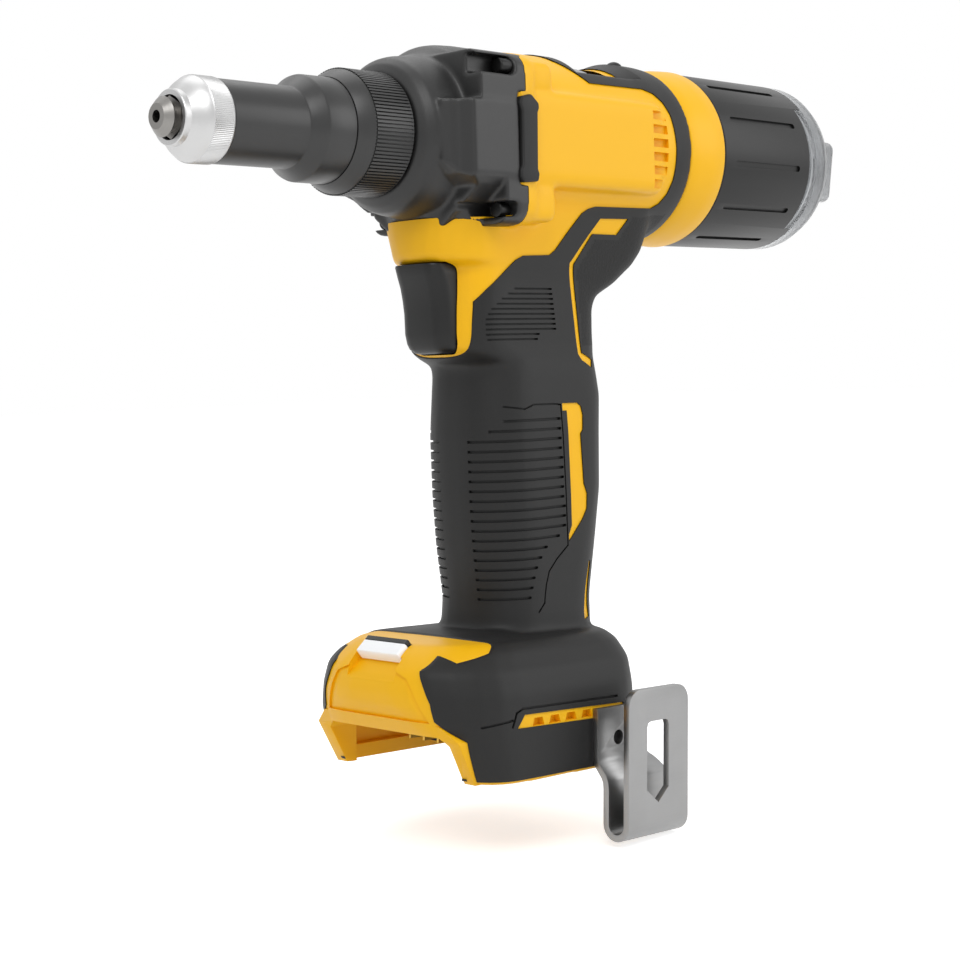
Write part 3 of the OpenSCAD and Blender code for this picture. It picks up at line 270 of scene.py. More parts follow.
# Sheets stacked along the axis: fine dark lines across the core
lamination = metal("stacked_core_laminations", 0x6E6E70, 0.4, core_sheets, 0.02)
# Enamelled wire: orange-brown, with the ridges of its turns
copper_wire = metal("enamelled_copper_wire", 0xB4672D, 0.3, wound_wire, 0.05)
# Drawn wire is the smoothest of the steels
spring_wire = metal("drawn_spring_wire", 0xA9A9A9, 0.25, even_grain, 0.002)
# Plated brass blades: warm and pale
brass = metal("plated_brass", 0xC9A24B, 0.3, even_grain, 0.003)
print("metals ready")

# %% [markdown]
# Clear polycarbonate is a smooth dielectric that lets light through. A pale grey tint and a little
# roughness give it the slightly milky look of a moulded part. A glass shader would be too sharp.

# %% Clear plastic and the work light's lens
clear_plastic = bpy.data.materials.new("clear_polycarbonate")
clear_plastic.use_nodes = True
tree = clear_plastic.node_tree
shader = tree.nodes["Principled BSDF"]
shader.inputs["Base Color"].default_value = linear(0xB4B6B8)
shader.inputs["Transmission Weight"].default_value = 1.0
shader.inputs["IOR"].default_value = 1.45
place = add(tree, "ShaderNodeTexCoord").outputs["Object"]
haze = add(tree, "ShaderNodeTexNoise", {"Scale": 250.0, "Detail": 2.0}, {"Vector": place})
spread = add(tree, "ShaderNodeMapRange", {"To Min": 0.16, "To Max": 0.26}, {"Value": haze.outputs["Fac"]})
tree.links.new(spread.outputs[0], shader.inputs["Roughness"])

# Frosted, with a faint painted glow from its emission, so it reads white even in the shade
lens_plastic = moulded("frosted_lens_with_painted_glow", 0xF4F6F8, 0.25, 0.6, 0.01, 0.02, 0.4)
# The emission is painted light: a faint glow that keeps the lens white where shade falls
lens_plastic.node_tree.nodes["Principled BSDF"].inputs["Emission Color"].default_value = (1, 1, 1, 1)
lens_plastic.node_tree.nodes["Principled BSDF"].inputs["Emission Strength"].default_value = 0.12
print("clear plastics ready")

# %% [markdown]
# ## Helpers for shapes
# Three ways of making cover nearly every piece: turning a profile about the barrel's axis, extruding
# an outline, and lofting through rounded sections. Pieces are drawn in millimetres. `finish` scales
# them to metres, marks the sharp edges, and hangs each on its CAD body.


# %% Finishing a piece
def finish(name, shape, body, stuff, replaces=(), sharp=32):
    bm = bmesh.new()
    if isinstance(shape, bpy.types.Object):
        bm.from_mesh(shape.data)
        bpy.data.objects.remove(shape)
    else:
        bm.free()
        bm = shape
    bmesh.ops.scale(bm, vec=(0.001, 0.001, 0.001), verts=bm.verts)
    mesh = bpy.data.meshes.new(name)
    bm.to_mesh(mesh)
    bm.free()
    mesh.shade_smooth()
    mesh.set_sharp_from_angle(angle=math.radians(sharp))
    piece = bpy.data.objects.new(name, mesh)
    scene.collection.objects.link(piece)
    for one in stuff if isinstance(stuff, list) else [stuff]:
        mesh.materials.append(one)
    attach(piece, body)
    if replaces:
        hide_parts(*replaces)
    print(name, "-", len(mesh.polygons), "faces")
    return piece


# %% Turning a profile and bevelling what is sharp
def turned(points, steps=128, soften=0.25, closed=False):
    bm = bmesh.new()
    verts = [bm.verts.new((x, 0, r)) for x, r in points]
    edges = [bm.edges.new(pair) for pair in zip(verts, verts[1:])]
    if closed:
        edges.append(bm.edges.new((verts[-1], verts[0])))
    bmesh.ops.spin(bm, geom=verts + edges, cent=(0, 0, 0), axis=(1, 0, 0), angle=math.tau,
                   steps=steps, use_merge=True)
    bmesh.ops.remove_doubles(bm, verts=bm.verts, dist=0.0001)
    bmesh.ops.recalc_face_normals(bm, faces=bm.faces)
    if soften:
        bevel_sharp(bm, soften, 30)
    return bm


def bevel_sharp(bm, width, degrees, segments=2):
    edges = [e for e in bm.edges if e.is_manifold and abs(e.calc_face_angle(0)) > math.radians(degrees)]
    if edges:
        bmesh.ops.bevel(bm, geom=edges, offset=width, offset_type="OFFSET", segments=segments, profile=0.5,
                        affect="EDGES", clamp_overlap=True, material=-1)


# %% Extruding an outline
def prism(outline, low, high, axis="y"):
    bm = bmesh.new()

    def placed(point, depth):
        if axis == "y":
            return (point[0], depth, point[1])
        if axis == "x":
            return (depth, point[0], point[1])
        return (point[0], point[1], depth)

    face = bm.faces.new([bm.verts.new(placed(p, low)) for p in outline])
    grown = bmesh.ops.extrude_face_region(bm, geom=[face])
    moved = [g for g in grown["geom"] if isinstance(g, bmesh.types.BMVert)]
    bmesh.ops.translate(bm, vec=placed((0, 0), high - low), verts=moved)
    bmesh.ops.recalc_face_normals(bm, faces=bm.faces)
    return bm


def rounded(width, height, radius, centre=(0, 0), parts=6):
    points = []
    for sx, sy, start in ((1, 1, 0), (-1, 1, 90), (-1, -1, 180), (1, -1, 270)):
        for k in range(parts + 1):
            a = math.radians(start + 90 * k / parts)
            points.append((centre[0] + sx * (width / 2 - radius) + radius * math.cos(a),
                           centre[1] + sy * (height / 2 - radius) + radius * math.sin(a)))
    return points


# %% Bricks and rods
def brick(size, centre=(0, 0, 0), soften=0.0, turn=0):
    bm = bmesh.new()
    bmesh.ops.create_cube(bm, size=1.0)
    bmesh.ops.scale(bm, vec=size, verts=bm.verts)
    if soften:
        bevel_sharp(bm, soften, 60, 3)
    if turn:
        bmesh.ops.rotate(bm, cent=(0, 0, 0), matrix=Matrix.Rotation(math.radians(turn), 3, "Z"),
                         verts=bm.verts)
    bmesh.ops.translate(bm, vec=centre, verts=bm.verts)
    return bm


def room(left, right, low, high):
    return brick((right - left, 100, high - low), ((left + right) / 2, 0, (low + high) / 2))


def rod(radius, length, centre, axis, segments=32, soften=0.0):
    bm = bmesh.new()
    bmesh.ops.create_cone(bm, cap_ends=True, segments=segments, radius1=radius, radius2=radius, depth=length)
    if soften:
        bevel_sharp(bm, soften, 40, 3)
    about = {"x": "Y", "y": "X"}[axis]
    bmesh.ops.rotate(bm, cent=(0, 0, 0), matrix=Matrix.Rotation(math.radians(90), 3, about), verts=bm.verts)
    bmesh.ops.translate(bm, vec=centre, verts=bm.verts)
    return bm


# %% Lofting through rounded sections
# A station is height, front x, rear x, half width, front corner radius, rear corner radius.
def station_points(station, inset=0.0, parts=6):
    height, front, rear, half, front_r, rear_r = station
    front, rear, half = front + inset, rear - inset, half - inset
    front_r, rear_r = max(front_r - inset, 1), max(rear_r - inset, 1)
    corners = ((rear - rear_r, half - rear_r, rear_r, 0), (front + front_r, half - front_r, front_r, 90),
               (front + front_r, front_r - half, front_r, 180), (rear - rear_r, rear_r - half, rear_r, 270))
    points = []
    for x, y, r, start in corners:
        for k in range(parts + 1):
            a = math.radians(start + 90 * k / parts)
            points.append((x + r * math.cos(a), y + r * math.sin(a), height))
    return points


def loft(stations, inset=0.0):
    bm = bmesh.new()
    rings = [[bm.verts.new(p) for p in station_points(s, inset)] for s in stations]
    loops = [[bm.edges.new((ring[i - 1], ring[i])) for i in range(len(ring))] for ring in rings]
    for low, high in zip(loops, loops[1:]):
        bmesh.ops.bridge_loops(bm, edges=low + high)
    bm.faces.new(rings[0])
    bm.faces.new(rings[-1])
    bmesh.ops.recalc_face_normals(bm, faces=bm.faces)
    return bm


# %% Working copies, cuts and unions
# Work is done on draft objects in millimetres, and none of them stays in the scene. The Boolean and
# Remesh modifiers are applied by taking the evaluated mesh, so no modifier is left on a finished piece.
def draft(bm):
    mesh = bpy.data.meshes.new("draft")
    bm.to_mesh(mesh)
    bm.free()
    made = bpy.data.objects.new("draft", mesh)
    scene.collection.objects.link(made)
    return made


def applied(made):
    graph = bpy.context.evaluated_depsgraph_get()
    mesh = bpy.data.meshes.new_from_object(made.evaluated_get(graph))
    made.modifiers.clear()
    made.data = mesh
    return made


def joined(made, other, how, keep=False):
    step = made.modifiers.new("join", "BOOLEAN")
    step.operation = how
    step.solver = "MANIFOLD"
    step.object = other
    applied(made)
    if not keep:
        bpy.data.objects.remove(other)
    return made


def copied(made, grow=0.0):
    bm = bmesh.new()
    bm.from_mesh(made.data)
    bm.normal_update()
    if grow:
        for vert in bm.verts:
            vert.co += vert.normal * grow
    return draft(bm)


def through(outline, axis="y"):
    return draft(prism(outline, -60, 60, axis))


def remeshed(made, voxel, smooth):
    step = made.modifiers.new("skin", "REMESH")
    step.mode = "VOXEL"
    step.voxel_size = voxel
    applied(made)
    bm = bmesh.new()
    bm.from_mesh(made.data)
    for _ in range(smooth):
        bmesh.ops.smooth_vert(bm, verts=bm.verts, factor=0.5, use_axis_x=True, use_axis_y=True,
                              use_axis_z=True)
    bmesh.ops.recalc_face_normals(bm, faces=bm.faces)
    bm.to_mesh(made.data)
    bm.free()
    return made


# %% Moving and gathering shapes
foot_tilt = math.radians(2.55)


def tilted(bm):
    bmesh.ops.rotate(bm, cent=(0, 0, 0), matrix=Matrix.Rotation(foot_tilt, 3, "Y"), verts=bm.verts)
    return bm


def gathered(*shapes):
    whole = bmesh.new()
    for shape in shapes:
        mesh = bpy.data.meshes.new("part")
        shape.to_mesh(mesh)
        shape.free()
        whole.from_mesh(mesh)
        bpy.data.meshes.remove(mesh)
    return whole


def turned_about_x(bm, degrees):
    bmesh.ops.rotate(bm, cent=(0, 0, 0), matrix=Matrix.Rotation(math.radians(degrees), 3, "X"),
                     verts=bm.verts)
    return bm


# %% [markdown]
# ## The nose
# A rivet's mandrel goes into the steel nosepiece, which is screwed into a ridged cap. The cap closes a
# black tube with a stepped shoulder. The nosepiece keeps its CAD shape and only gets its finish. The
# rest is lathe work, so each piece is a profile spun about the barrel's axis. A cylinder with loop cuts
# would do, but a profile reads like the real drawing.

# %% Nosepiece
for cad_node, coat in (("nosepiece", nose_steel), ("retaining_ring", spring_wire)):
    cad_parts[cad_node].data.materials.clear()
    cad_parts[cad_node].data.materials.append(coat)
print("nosepiece keeps its CAD shape")

# %% [markdown]
# The cap's rim is milled with fine straight ridges so that fingers can unscrew it. The spin's own
# facets become the ridges: every second vertex of the rim is pressed in, which shows true in the
# silhouette, where a bump texture would stay flat.

# %% Nose cap with its ridges
cap_profile = [(4.0, 5.9), (4.0, 7.15), (4.25, 7.4), (5.8, 7.5), (6.0, 7.7), (7.2, 9.1), (8.6, 10.35),
               (10.0, 11.2), (10.2, 11.25), (10.4, 11.55), (10.8, 11.58), (16.5, 11.58), (16.9, 11.4),
               (17.2, 11.1), (17.2, 10.2), (13.0, 10.2), (6.9, 5.9)]
cap_steps = 288
ridge_depth = 0.2
cap = turned(cap_profile, steps=cap_steps, soften=0, closed=True)
pressed = 0
for vert in cap.verts:
    radius = math.hypot(vert.co.y, vert.co.z)
    if radius > 11.5 and round(math.atan2(vert.co.y, vert.co.z) / math.tau * cap_steps) % 2:
        vert.co.y *= (radius - ridge_depth) / radius
        vert.co.z *= (radius - ridge_depth) / radius
        pressed += 1
finish("ridged_nose_cap", cap, "nose", cap_steel, ["nose_cap"], 40)
print(pressed, "points pressed in")

# %% [markdown]
# The tube behind the cap is slim where it reaches between other parts, and steps up to the width of the
# lock ring. It is one profile too, with its bore drawn in the same closed line, so it has a real wall.

# %% Nose tube with its stepped shoulder
tube_profile = [
    (12.2, 9.0), (12.2, 10.3), (17.2, 10.3), (17.2, 11.0), (17.4, 11.25), (42.6, 11.25), (43.0, 11.5),
    (46.3, 14.5), (47.0, 14.75), (56.2, 14.8), (56.4, 14.6), (68, 14.6), (68, 13.2), (60, 13.2), (60, 10.5),
    (44, 10.5), (44, 9.0)]
tube = turned(tube_profile, soften=0.15, closed=True)
finish("stepped_nose_tube", tube, "nose", tube_black, ["nose_tube"])

# %% [markdown]
# The lock ring is turned by hand, so its rear half carries straight ribs. One rib is a slim prism, and
# a loop turns copies of it round the axis: about a hundred real ribs give the toothed outline that the
# photograph shows, at a few faces each.

# %% Lock ring
ring_profile = [
    (56.5, 14.75), (56.5, 14.95), (60.4, 17.2), (61.0, 17.5), (61.4, 17.3), (74.4, 17.3), (74.7, 17.6),
    (75.2, 17.5), (75.4, 17.1), (75.4, 13.0), (71.8, 13.0), (71.8, 15.1), (57.2, 15.1)]
ribs = 104
rib_section = [(-0.4, 17.1), (0.4, 17.1), (0.32, 17.8), (-0.32, 17.8)]
ring_shapes = [turned(ring_profile, soften=0.1, closed=True)]
for k in range(ribs):
    ring_shapes.append(turned_about_x(prism(rib_section, 61.1, 74.8, "x"), 360 * k / ribs))
finish("ribbed_lock_ring", gathered(*ring_shapes), "lock_ring_body", tube_black,
       ["lock_ring"], 40)

# %% [markdown]
# ## The gearcase
# The case is a casting: a dome behind the ring, a soft valley, a round body, and side plates with four
# channels for the screws. The round parts are turned, the plates are extruded from the plan, the front
# and the side, and a voxel remesh with a little smoothing melts the edges as a casting's fillets do.
# Bevelling each edge would give cleaner corners, but a casting has none.

# %% Gearcase: the solid parts
case_profile = [
    (75.8, 14), (75.8, 17.9), (77.4, 20.4), (79.4, 22.1), (81.8, 22.8), (85, 23.2), (88.2, 23.6), (91, 24.4),
    (92.8, 25.8), (94.4, 26.9), (97, 27.4), (102, 27.7), (114.6, 27.7), (115.8, 27.2), (115.8, 14)]
plate_plan = [(80.6, 15), (80.6, 22.6), (82.2, 24.4), (84.4, 25.8), (86.8, 29.9), (110, 29.9), (110, 15)]
plate_side = [(80, 9), (80, -8.5), (84.5, -12.5), (90, -15.5), (100, -22), (111, -22), (111, 9)]
section = [(-29.9, -12.8), (-27.5, -15.2), (-22.5, -18.8), (-18, -21.5), (-12, -26.2), (12, -26.2),
           (18, -21.5), (22.5, -18.8), (27.5, -15.2), (29.9, -12.8), (29.9, 40), (-29.9, 40)]
flange_section = rounded(59.0, 49.4, 6.0, (0, -1.8))
case = draft(turned(case_profile, 96, 0, True))
plates = draft(gathered(*[prism([(x, side * y) for x, y in plate_plan], -26.2, 8.2, "z")
                          for side in (-1, 1)]))
joined(plates, draft(prism(section, 70, 120, "x")), "INTERSECT")
joined(plates, draft(prism(plate_side, -40, 40)), "INTERSECT")
shoulder = draft(prism(flange_section, 90.2, 110, "x"))
joined(shoulder, draft(prism(section, 70, 120, "x")), "INTERSECT")
joined(shoulder, draft(prism(flange_section, 99.6, 110, "x")), "UNION")
skirt = loft([(-25.2, 88.2, 140, 20.0, 16.5, 5), (-19, 88.0, 140, 21.8, 17, 5), (-8, 90, 140, 22, 17, 5)])
# The skirt's lower edge climbs towards the front
for vert in skirt.verts:
    if vert.co.z < -25:
        vert.co.z += (99 - vert.co.x) * 0.12
for other in (plates, shoulder, draft(skirt)):
    joined(case, other, "UNION")
print("gearcase before its cuts -", len(case.data.polygons), "faces")

# %% Gearcase: screw channels, the joint with the body, and the bore
channel_end = 104.7
case_cutters = []
for side in (-1, 1):
    for z, start, height, depth in ((18.6, 85.5, 5.4, 9.6), (-22.2, 84.2, 4.4, 15.5)):
        channel = rounded(channel_end - start, height, 2.0, ((start + channel_end) / 2, z))
        case_cutters.append(prism(channel, side * 33 - depth, side * 33 + depth))
# The case stops short behind, below and where the side pads sit
case_cutters += [room(108.6, 150, -60, 21.6), room(60, 150, -60, -26.6), room(105.1, 150, -15.2, 11.2)]
case_cutters.append(turned([(70, 0.0), (70, 14), (120, 14), (120, 0.0)], 64, 0))
for cutter in case_cutters:
    joined(case, draft(cutter), "DIFFERENCE")
remeshed(case, 0.5, 4)
case_solid = copied(case, 0.12)
finish("cast_gearcase", case, "housing", case_paint, ["gearcase"], 60)

# %% [markdown]
# Four screws hold the case to the shells. Each is a short rod with a rounded rim, standing at the end of
# its channel. A cylinder primitive with a bevel is all it takes.

# %% Gearcase screws
screws = []
for x, y, z in ((102.4, -26, 18.6), (102.4, 26, 18.6), (102.6, -23.8, -22.2), (102.6, 23.8, -22.2)):
    screws.append(rod(2.3, 4.8, (x, y, z), "x", segments=40, soften=0.5))
finish("gearcase_screw_heads", gathered(*screws), "housing", screw_black, ["gearcase_screws"])

# %% [markdown]
# ## The body form
# Barrel, side windows, flange, grip and foot are one moulding in the hand, split down the middle. The
# separate shapes are gathered with overlaps, then one voxel remesh turns them into a single skin, and
# smoothing gives the soft blends. Sculpting would do too, but this way every length stays readable.

# %% Stations of the grip and the foot
handle = [
    (-150, 104, 151, 18.6, 14, 15), (-144.5, 105.4, 151.2, 18, 15, 14),
    (-140.4, 105.7, 151.3, 17.8, 15, 14), (-137.5, 105.8, 151.5, 17.6, 15, 13.5),
    (-121, 104.3, 153.8, 18.2, 15, 13.2), (-106, 103.6, 156, 18.5, 15.2, 13),
    (-88, 103.5, 156.6, 18.5, 15.2, 13), (-77, 104.2, 157.4, 18, 15, 12.5),
    (-70, 104.9, 156.2, 17.6, 14.5, 12), (-66.4, 104.4, 155.8, 17.2, 14, 12),
    (-65.0, 101.2, 155.7, 17, 13.5, 12), (-63.4, 98, 155.7, 17, 13.5, 12),
    (-61.5, 95.6, 156, 16.8, 13.5, 12), (-58, 95.0, 155.8, 16.8, 13.5, 12),
    (-50, 95.4, 156.0, 16.8, 13.5, 12), (-46, 95.8, 158, 16.8, 13.5, 12),
    (-42, 96, 166.8, 16.8, 13.5, 12), (-37.4, 96.2, 173.4, 17.2, 14, 12),
    (-36.4, 90.4, 174.6, 17.8, 16, 12), (-35.0, 88.9, 176, 18.0, 16.5, 12.5),
    (-32, 88.4, 178.6, 18.5, 17, 12.5), (-27, 88, 180.2, 19.5, 17, 12.5),
    (-20, 88, 180.6, 21.5, 17.5, 12)]
foot = [
    (-181.9, 87, 157.8, 36.4, 12, 17), (-172.5, 81.2, 158.2, 36.4, 16, 17),
    (-164.4, 75.8, 158.2, 36.4, 21, 17), (-160, 73.2, 158.2, 36.2, 26, 16.5),
    (-156.5, 72.6, 158, 35.8, 27, 16.5), (-150.5, 73.1, 158, 33.8, 26.5, 15.5),
    (-148.4, 74.9, 157.6, 32, 24.5, 15), (-145.2, 77.6, 157, 29.6, 24.5, 15),
    (-142.9, 80.3, 155.6, 26, 22.5, 15), (-142.7, 83, 155.2, 24, 20, 15),
    (-142.6, 99, 153.4, 18.6, 12, 14), (-141.6, 106, 150, 14, 10, 12)]
print(len(handle), "stations of the grip and", len(foot), "of the foot")

# %% One skin over barrel, window, flange, grip and foot
barrel_profile = [
    (105.3, 0.0), (105.3, 27.7), (120, 27.6), (127, 28.1), (168, 28.1), (175, 28.5), (182, 28.4),
    (186.9, 27.9), (186.9, 0.0)]
barrel = turned(barrel_profile, 96, 0)
flange = prism(flange_section, 105.3, 112.5, "x")
window = brick((62, 57.4, 28.5), (142, 0, -1), 3.0)
corner_blocks = []
for side in (-1, 1):
    for z, height in ((16.6, 9.6), (-20.0, 11.0)):
        corner_blocks.append(brick((20, 12, height), (112.5, side * 22.4, z), 2.4))
form = draft(gathered(barrel, flange, window, *corner_blocks, loft(handle), tilted(loft(foot))))
dip_profile = [
    (141.5, 28.7), (145.5, 26.4), (150, 25.2), (156, 25.0), (166, 26.3), (172, 27.6), (175, 29), (175, 40),
    (141.5, 40)]
dip = draft(turned(dip_profile, 96, 0, True))
joined(dip, draft(prism([(-18.5, 5), (18.5, 5), (18.5, 60), (-18.5, 60)], 130, 180, "x")), "INTERSECT")
remeshed(form, 0.9, 6)
joined(form, dip, "DIFFERENCE")
joined(form, case_solid, "DIFFERENCE")
# Ahead of this joint and above the grip everything belongs to the gearcase
joined(form, draft(room(59.9, 104.9, -23.9, 60.1)), "DIFFERENCE")
print("one skin -", len(form.data.polygons), "faces")

# %% [markdown]
# The panel between the light and the battery's mouth lies a little deeper than its frame. The outline is
# pushed through, and the form itself, shrunk by that depth, is taken out of it: what is left is a layer of
# even thickness to cut away. Inset and extrude would do the same on a flat face, but this face is round.

# %% Front panel of the foot
panel_depth = 0.7
panel = [
    (-21.5, -163.8), (21.5, -163.8), (16.8, -154.5), (14.8, -151.6), (10, -149.7), (4, -148.8),
    (-4, -148.8), (-10, -149.7), (-14.8, -151.6), (-16.8, -154.5)]
panel_cut = draft(tilted(prism(panel, 60, 90, "x")))
joined(panel_cut, copied(form, -panel_depth), "DIFFERENCE")
joined(form, panel_cut, "DIFFERENCE")
print("body form -", len(form.data.polygons), "faces")

# %% [markdown]
# The shell is hollow, with the trigger's opening in front, the battery's bay below, louvres over the
# fan and a pocket for the work light. Each is a plain cutter taken away from the form.

# %% Cutters that the shell and the rubber share
inner_barrel = turned([(104, 0.0), (104, 26), (189, 26), (189, 0.0)], 64, 0)
inner_grip = [s for s in handle if -139 < s[0] < -25]
bay_section = [
    (-31.4, -166.8), (31.4, -166.8), (31.4, -177.7), (28.4, -177.7), (28.4, -186), (-28.4, -186),
    (-28.4, -177.7), (-31.4, -177.7)]
bay = prism(bay_section, 91, 148, "x")
mouth_section = [
    (-22.7, -168.0), (22.7, -168.0), (25.5, -170.5), (25.1, -186), (-25.1, -186), (-25.5, -170.5)]
mouth = prism(mouth_section, 60, 92, "x")
hole_half = 9.8
hole_top = -36.3
hole_low = -59.4
hole_corner = 4
hole_outline = [(-hole_half, hole_top), (-hole_half, hole_low)]
for k in range(1, 7):
    a = math.radians(15 * k)
    hole_outline.append((hole_corner * (1 - math.cos(a)) - hole_half, hole_low - hole_corner * math.sin(a)))
hole_outline += [(-y, z) for y, z in hole_outline[::-1]]
trigger_hole = prism(hole_outline, 79, 103, "x")
light_turn = Matrix.Rotation(math.radians(-40.7), 3, "Y")
light_place = (77.6, 0, -146.5)


def at_light(bm):
    bmesh.ops.rotate(bm, cent=(0, 0, 0), matrix=light_turn, verts=bm.verts)
    bmesh.ops.translate(bm, vec=light_place, verts=bm.verts)
    return tilted(bm)


pocket = at_light(prism(rounded(18.3, 4.1, 0.9), -20, 5.8, "x"))
recess_arch = [(-10, -2.3), (10, -2.3), (10, 1.4), (7, 3.0), (3, 3.7), (-3, 3.7), (-7, 3.0), (-10, 1.4)]
recess = at_light(prism(recess_arch, -20, 0.0, "x"))
shared_cutters = [draft(shape) for shape in (inner_barrel, loft(inner_grip, 3.0), tilted(bay), tilted(mouth),
                                             trigger_hole, pocket, recess)]
print(len(shared_cutters), "shared cutters")

# %% [markdown]
# A rim frames the battery's mouth and stands a little ahead of the foot. Its front view is extruded, then
# cut to its side view: two outlines crossed give the slanted legs, which one extrusion can't. A slightly
# larger copy keeps the rubber clear of it.

# %% Rim of the battery's mouth
rim_front = [(-24.6, -164.6), (24.6, -164.6), (30.2, -169.0), (29.6, -181.8), (25.2, -181.8), (25.6, -170.4),
             (22.7, -168.0), (-22.7, -168.0), (-25.6, -170.4), (-25.2, -181.8), (-29.6, -181.8),
             (-30.2, -169.0)]
rim_side = [(76.4, -163), (77.9, -165.2), (80.0, -169.2), (87.2, -181.9), (97, -181.9), (95, -163)]
rim = draft(prism(rim_front, 70, 97, "x"))
joined(rim, draft(prism(rim_side, -40, 40)), "INTERSECT")
rim_bm = bmesh.new()
rim_bm.from_mesh(rim.data)
bpy.data.objects.remove(rim)
bevel_sharp(rim_bm, 0.5, 50)
rim = draft(tilted(rim_bm))
rim_room = copied(rim, 0.15)
print("rim -", len(rim.data.polygons), "faces")

# %% [markdown]
# The shell is the form with the rim added and every cutter taken away. The louvres over the fan are
# turned slightly, as they are moulded, and lie at one pitch down each side.

# %% Yellow shell
louvre_pitch = 4.25
groove_sinks = 0.45
shell = copied(form)
joined(shell, rim, "UNION")
for cutter in shared_cutters:
    joined(shell, cutter, "DIFFERENCE", keep=True)
for side in (-1, 1):
    for k in range(6):
        place = (170.8, side * 28.4, 9.2 - louvre_pitch * k)
        joined(shell, draft(brick((7.4, 4.2, 2.7), place, turn=side * 10)), "DIFFERENCE")
deep = copied(form, -groove_sinks)
print("shell before its seam -", len(shell.data.polygons), "faces")

# %% [markdown]
# ## The rubber
# The rubber is moulded over the shell, so it follows the same form and stands a hair above it. A copy
# of the form is grown by 0.4 mm and cut to outlines read from the side view, then hollowed. The edge
# between the two colours is then a real step, which catches light as it does in the photograph.

# %% Outlines of the rubber
# They are side views, x and z, apart from nose_front, which is a front view, y and z. Both nose_front
# and hook_strip are drawn upright and tilted with the foot.
rubber_stands = 0.4
rubber_wall = 1.4
rubber_edge = [
    (136.4, 45), (136.8, 30), (138.3, 25.2), (144.9, 17.9), (169.9, 18.2), (173.6, 16.9), (176.2, 14.0),
    (177.6, 10.1), (178.3, -0.4), (178.4, -10.2), (177.6, -14.6), (175.8, -17.6), (173.2, -19),
    (146.7, -19.4), (143.4, -20.2), (140.7, -21.6), (131.1, -32.7), (128.7, -34.3), (117.2, -34.7),
    (114.2, -36), (108.6, -40.6), (103.9, -44.5), (100.3, -48.1), (99.7, -54.5), (99.3, -60.8),
    (99.3, -64.6), (100.1, -66.8), (60, -67.2), (60, -215), (165, -215), (165, -60), (186.6, -60),
    (186.6, 45)]
nose_front = [
    (-18.0, -120), (18.0, -120), (18.0, -149.0), (22.5, -158.1), (23.3, -163.2), (26.5, -165.9),
    (28.4, -168.5), (29.8, -175.0), (29.6, -190), (-29.6, -190), (-29.8, -175.0), (-28.4, -168.5),
    (-26.5, -165.9), (-23.3, -163.2), (-22.5, -158.1), (-18.0, -149.0)]
deck_top = [
    (50, -120), (93.6, -120), (93.6, -146.2), (87.8, -149.0), (77.5, -150.8), (75.7, -148.8),
    (70.0, -152.4), (50, -152.4)]
hook_strip = [
    (97.0, -165.9), (100.0, -162.2), (143.2, -163.0), (144.3, -164.2), (144.3, -165.8), (141.2, -166.7)]
side_strip = [
    (132.3, -79), (139.3, -79.1), (140.9, -80.2), (141.6, -83.0), (141.2, -87.4), (140.1, -88.6),
    (141.0, -104.0), (142.4, -107.2), (142.2, -111.9), (140.2, -114.8), (135.2, -119.9), (133.6, -121.4),
    (133.6, -119.3), (135.0, -116.4), (134.2, -81.3), (132.3, -81.3)]
thin_line = [
    (149.5, -22.9), (162.7, -22.6), (158.5, -27.6), (147.1, -27.6), (140.2, -36.7), (143.3, -63.9),
    (149.1, -66.1), (147.9, -68.6), (143.0, -66.1), (141.5, -64.2), (138.1, -36.5)]
low_sliver = [
    (143.7, -128.1), (142.2, -134.2), (140.4, -143.3), (140.5, -146.2), (143.9, -145.6), (143.2, -142.0),
    (143.9, -134.2), (144.9, -128.4)]

# %% Rubber over the shell
rubber = copied(form, rubber_stands)
joined(rubber, through(rubber_edge), "INTERSECT")
joined(rubber, draft(tilted(prism(nose_front, 50, 86, "x"))), "DIFFERENCE")
joined(rubber, through(deck_top), "DIFFERENCE")
joined(rubber, draft(tilted(brick((200, 120, 20), (120, 0, -190.8)))), "DIFFERENCE")
for outline in (side_strip, thin_line, low_sliver):
    joined(rubber, through(outline), "DIFFERENCE")
for side in (-1, 1):
    opened = draft(tilted(prism(hook_strip, side * 36.2 - 3, side * 36.2 + 3)))
    joined(rubber, opened, "DIFFERENCE")
core = [turned([(100, 0.0), (100, 26.8), (190, 26.8), (190, 0.0)], 64, 0), loft(handle, rubber_wall),
        tilted(loft(foot, rubber_wall))]
for cutter in core:
    joined(rubber, draft(cutter), "DIFFERENCE")
for cutter in shared_cutters:
    joined(rubber, cutter, "DIFFERENCE", keep=True)
joined(rubber, rim_room, "DIFFERENCE")
print("rubber before its grooves -", len(rubber.data.polygons), "faces")

# %% [markdown]
# In the mould the rubber fills a bed in the shell. Taking the rubber's solid away from the shell makes
# that bed, so a groove in the rubber shows rubber at its bottom and never the yellow below. The two halves
# meet in a thin parting line, which is cut only as deep as the grooves.

# %% Bed, pockets and seam of the shell
joined(shell, rubber, "DIFFERENCE", keep=True)
for side in (-1, 1):
    for u in (103.5, 110.5, 117.5, 124.5):
        notch = tilted(prism([(u, -165.9), (u + 0.8, -163.6), (u + 4.2, -163.6), (u + 5.0, -165.9)],
                             side * 35.6 - 1.4, side * 35.6 + 1.4))
        joined(shell, draft(notch), "DIFFERENCE")
seam = draft(prism([(100, -215), (215, -215), (215, 60), (100, 60)], -0.16, 0.16))
joined(seam, deep, "DIFFERENCE", keep=True)
joined(shell, seam, "DIFFERENCE")
finish("moulded_yellow_shell", shell, "housing", yellow_abs,
       ["left_housing", "right_housing"], 50)

# %% [markdown]
# Grip grooves are thin slabs with the sunk form taken out of them, so they bite to an even depth
# however the surface curves. The rubber loses whatever is left of the slabs. The ribs under the thumb are
# cut the same way, each as long as its patch is wide at that height.


